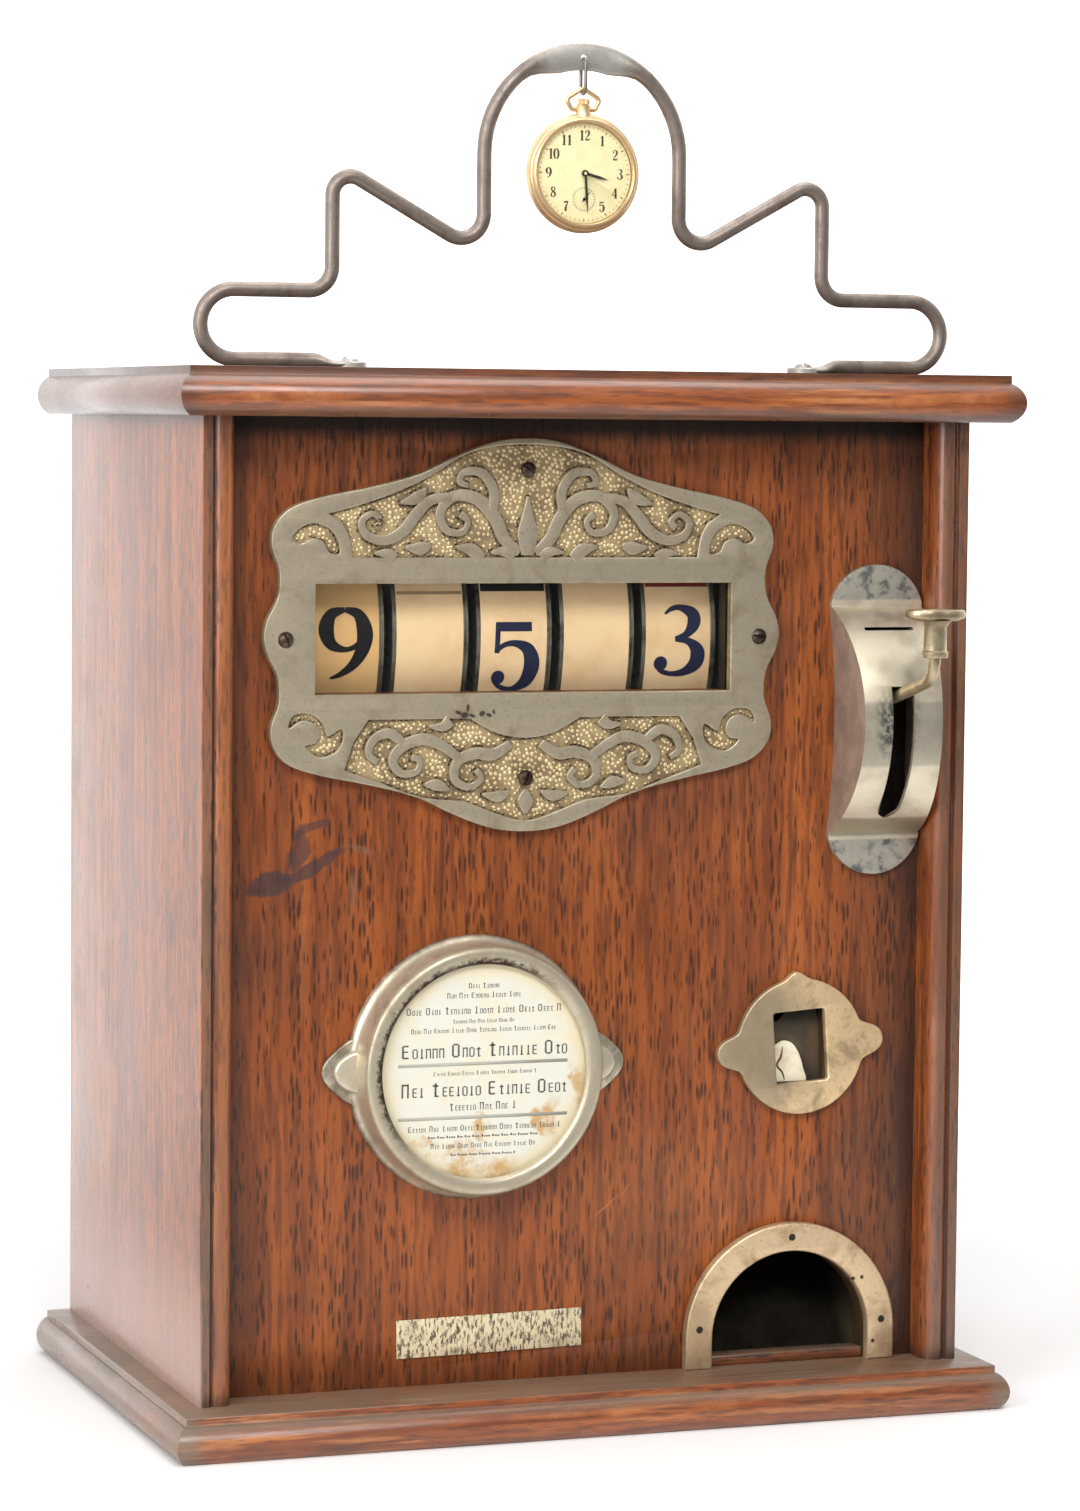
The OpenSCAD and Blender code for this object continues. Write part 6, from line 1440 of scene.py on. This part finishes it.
PAD = [(0, 0), (6.2, 0), (6.2, 1.9), (5.7, PAD_TOP), (0, PAD_TOP)]
pads = [stand(turned("pad_%d" % side, PAD, (0, 0), 0, 40), side * FOOT_X * MM, HANGER_Y, LID_TOP)
        for side in (-1, 1)]
dress(join("hanger_pads", pads), "cabinet", "steel", bright_steel)
foot_screws = set_copies("hanger_screws", slotted_head("hanger_screw", 3.4, 1.9, 0.9),
                         [(side * FOOT_X * MM, HANGER_Y, LID_TOP + PAD_TOP * MM) for side in (-1, 1)],
                         [(math.radians(-90), 0, turn) for turn in (0.4, 1.3)], bright_steel)
dress(foot_screws, "cabinet", "steel", (), "hanger_screws")
dress(smooth_copy("hook_link", "watch_link"), "hook", "steel", hook_steel, "watch_link")

# Watch
# A gold-filled open-faced pocket watch: turned case, knurled crown, wire bow, cream dial with dark
# figures, a seconds ring at six, and dark hands under a domed crystal.
_, case_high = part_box("watch_case")
dial_low, dial_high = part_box("watch_dial")
crown_low, crown_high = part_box("watch_crown")
WATCH_MIDDLE = (0, (dial_low.z + dial_high.z) / 2)
CASE = [(0, -5.2), (13, -5.15), (17.6, -4.7), (20.2, -3.8), (21.7, -2.4), (22.3, -0.6), (22.3, 0.8),
        (21.9, 2.1), (21.3, 3.0), (21.0, 3.1), (20.7, 3.7), (20, 4.3), (19.3, 4.3), (18.8, 3.8), (18.8, 1.4),
        (17.4, 1.4), (17.4, 0.2), (0, 0.2)]
PENDANT_H = 4.6
PENDANT = [(0, 0), (3.4, 0), (3.0, 1.6), (2.7, 2.8), (2.8, 4.2), (2.8, PENDANT_H), (0, PENDANT_H)]
CROWN_H = (crown_high.z - crown_low.z) / MM
CROWN = [(0, 0), (1.8, 0), (2.2, 0.3), (2.25, CROWN_H - 0.5), (1.7, CROWN_H - 0.05), (0, CROWN_H)]
gold = metal("watch_gold", (0.78, 0.55, 0.31, 1), (0.52, 0.34, 0.17, 1), 0.28, (0.5, 0.8, 0.5), metallic=0.85,
             size=0.6, dents=0.06)
case = turned("watch_case", CASE, WATCH_MIDDLE, HANGER_Y)
pendant = stand(turned("pendant", PENDANT, (0, 0), 0, 32), 0, HANGER_Y, case_high.z - PENDANT_H * MM)
dress(join("gold_case", [case, pendant]), "watch", "gold", gold, "watch_case")
crown = stand(turned("crown", CROWN, (0, 0), 0, 40), 0, HANGER_Y, crown_low.z)
dress(crown, "crown", "gold", gold, "watch_crown")
KNURL_R, KNURL_WIDE = 2.2 * MM, 0.36 * MM
crown_mid_z = (crown_low.z + crown_high.z) / 2
knurls = round_angles(22)
knurl = set_copies("crown_knurl", small_box("knurl", KNURL_WIDE, KNURL_WIDE, (CROWN_H - 0.9) * MM),
                   [(KNURL_R * math.cos(a), HANGER_Y + KNURL_R * math.sin(a), crown_mid_z) for a in knurls],
                   [(0, 0, a + math.pi / 4) for a in knurls], gold)
dress(knurl, "crown", "gold", ())
dress(smooth_copy("gold_bow", "watch_bow"), "bow", "gold", gold, "watch_bow")

DIAL_FRONT = HANGER_Y - 2.0 * MM
enamel = old_card("dial_cream", (0.92, 0.84, 0.53, 1), (0.80, 0.68, 0.36, 1), 0.5, 220)
dress(smooth_copy("dial", "watch_dial"), "watch", "enamel", enamel, "watch_dial")
FIGURE_R = 14.2
FIGURE_TALL, DRAWN_TALL = 3.9, 27
FIGURE_SCALE, FIGURE_NARROW = FIGURE_TALL / DRAWN_TALL, 0.8
FIGURE_PITCH = 15
DIAL_INK_GAP, DIAL_INK_THICK = 0.01, 0.03
figure_lines = []
for hour in (1, 2, 3, 4, 5, 7, 8, 9, 10, 11, 12):
    a = math.radians(90 - 30 * hour)
    middle_x, middle_z = FIGURE_R * math.cos(a), FIGURE_R * math.sin(a)
    label = str(hour)
    for k, digit in enumerate(label):
        shift = (k - (len(label) - 1) / 2) * FIGURE_PITCH
        for line in DIGITS[digit]:
            figure_lines.append([(middle_x + (x * FIGURE_NARROW + shift) * FIGURE_SCALE,
                                  middle_z + z * FIGURE_SCALE, wide * FIGURE_SCALE) for x, z, wide in line])


def on_dial(x, z, level):
    return (x * MM, DIAL_FRONT - (DIAL_INK_GAP + DIAL_INK_THICK * level) * MM, WATCH_MIDDLE[1] + z * MM)


dial_ink = plain("dial_ink", (0.075, 0.060, 0.026, 1), 0.5)
dress(print_strips("dial_figures", figure_lines, on_dial, 4), "watch", "enamel", dial_ink)
TICK_THICK = 0.05 * MM
TICK_Y = DIAL_FRONT - 0.02 * MM


def ring_of_ticks(name, middle_z, r, count, wide, tall):
    turns = round_angles(count)
    ticks = set_copies(name, small_box(name + "_tick", wide * MM, TICK_THICK, tall * MM),
                       [from_point((0, middle_z), r * math.sin(a), TICK_Y, r * math.cos(a)) for a in turns],
                       [(0, a, 0) for a in turns], dial_ink)
    dress(ticks, "watch", "enamel", ())


SECONDS_Z = WATCH_MIDDLE[1] - 9.6 * MM
ring_of_ticks("minute_track", WATCH_MIDDLE[1], 17.6, 60, 0.14, 0.8)
ring_of_ticks("hour_track", WATCH_MIDDLE[1], 17.4, 12, 0.32, 1.2)
ring_of_ticks("seconds_track", SECONDS_Z, 4.0, 24, 0.12, 0.7)
ring_of_ticks("seconds_ring", SECONDS_Z, 4.4, 48, 0.58, 0.10)
hand_steel = plain("hand_steel", (0.030, 0.026, 0.016, 1), 0.4, 0.4)
for hand in ("hour", "minute", "seconds"):
    dress(smooth_copy("dark_" + hand, hand + "_hand"), hand, "blued", hand_steel, hand + "_hand")
crystal = clear_glass("watch_crystal", 0.7)
dress(smooth_copy("crystal", "watch_crystal"), "watch", "glass", crystal, "watch_crystal")

# Back door
# An oak board on two brass hinges, with a round brass lock. The lock's cam, among the works below,
# turns behind an iron strike.
brass = metal("brass", (0.58, 0.42, 0.17, 1), (0.20, 0.12, 0.05, 1), 0.34, (0.45, 0.75, 0.8), 0.3)
door_dirt = [(X, 0, panel_half_x - 0.016, panel_half_x, 0.6, OAK_GRIME_AND_SHADE),
             (Z, panel_mid_z, panel_half_z - 0.020, panel_half_z, 0.6, OAK_GRIME_AND_SHADE)]
door_oak = oak("oak_door", Z, (0.7, 0.2, 0.5), door_dirt, worn=0.2)
DOOR = [("oak_door", "back_door", EDGE_WEAR, "door", "oak", door_oak),
        ("cabinet_hinges", "hinge_leaves_cabinet", 0.2 * MM, "cabinet", "brass", brass),
        ("door_hinges", "hinge_leaves_door", 0.2 * MM, "door", "brass", brass),
        ("lock_barrel", "door_lock", 0.4 * MM, "door", "brass", brass)]
for name, part, edge, body, slot, skin in DOOR:
    dress(soften(solid_copy(name, part), edge), body, slot, skin, part)

# Works
# What lies inside and shows through the openings or with the door open: a pine shelf and cash box,
# sheet-metal chutes and magazine, iron frames and cranks, steel shafts and leather-tipped fingers.
pine = oak("pine_boards", X, (0.4, 0.9, 0.3), worn=0.6, dust=0.5)
steel = metal("steel", (0.36, 0.34, 0.31, 1), (0.10, 0.07, 0.05, 1), 0.34, (0.45, 0.75, 0.8), 0.35)
iron = metal("iron", (0.10, 0.095, 0.09, 1), (0.06, 0.03, 0.018, 1), 0.5, (0.45, 0.7, 0.8), 0.4)
# A painted pool of light on the payout chute's right wall, seen through the mouth
LIT_METAL = (0.13, 0.10, 0.06, 1)
lit_wall = [mark(LIT_METAL, 0.95, 124, 35, 12, 50, 0.0, ragged=4, y=-70, half_y=50)]
chute_black = metal("chute_black", (0.016, 0.014, 0.010, 1), (0.010, 0.007, 0.005, 1), 0.55, (0.4, 0.7, 0.8),
                    marks=lit_wall)
sheet_iron = metal("sheet_iron", (0.085, 0.08, 0.055, 1), (0.05, 0.03, 0.018, 1), 0.5, (0.4, 0.7, 0.8), 0.4)
leather = plain("leather", (0.16, 0.07, 0.03, 1), 0.7)
WORKS = [
    ("cabinet", "pine", pine, ["mechanism_shelf", "cash_box"]),
    ("cabinet", "sheet", chute_black, ["payout_chute"]),
    ("cabinet", "sheet", sheet_iron, ["pack_magazine", "coin_chute"]),
    ("cabinet", "iron", iron, ["reel_frame_left", "reel_frame_right", "lever_brackets", "lock_strike"]),
    ("cabinet", "steel", steel, ["reel_shaft", "reel_brakes", "lever_spring", "hinge_pins"]),
    ("cabinet", "brass", brass, ["reel_spacers"]),
    ("lever", "steel", steel, ["lever_shaft"]),
    ("link", "iron", iron, ["drive_link"]),
    ("kicker", "steel", steel, ["kicker_shaft"]),
    ("kicker", "iron", iron, ["kicker_cranks"]),
    ("kicker", "leather", leather, ["kicker_fingers"]),
    ("pusher", "steel", steel, ["vend_pusher"]),
    ("lock", "steel", steel, ["lock_cam"]),
]
for body, slot, skin, parts in WORKS:
    for part in parts:
        dress(smooth_copy("work_" + part, part), body, slot, skin, part)
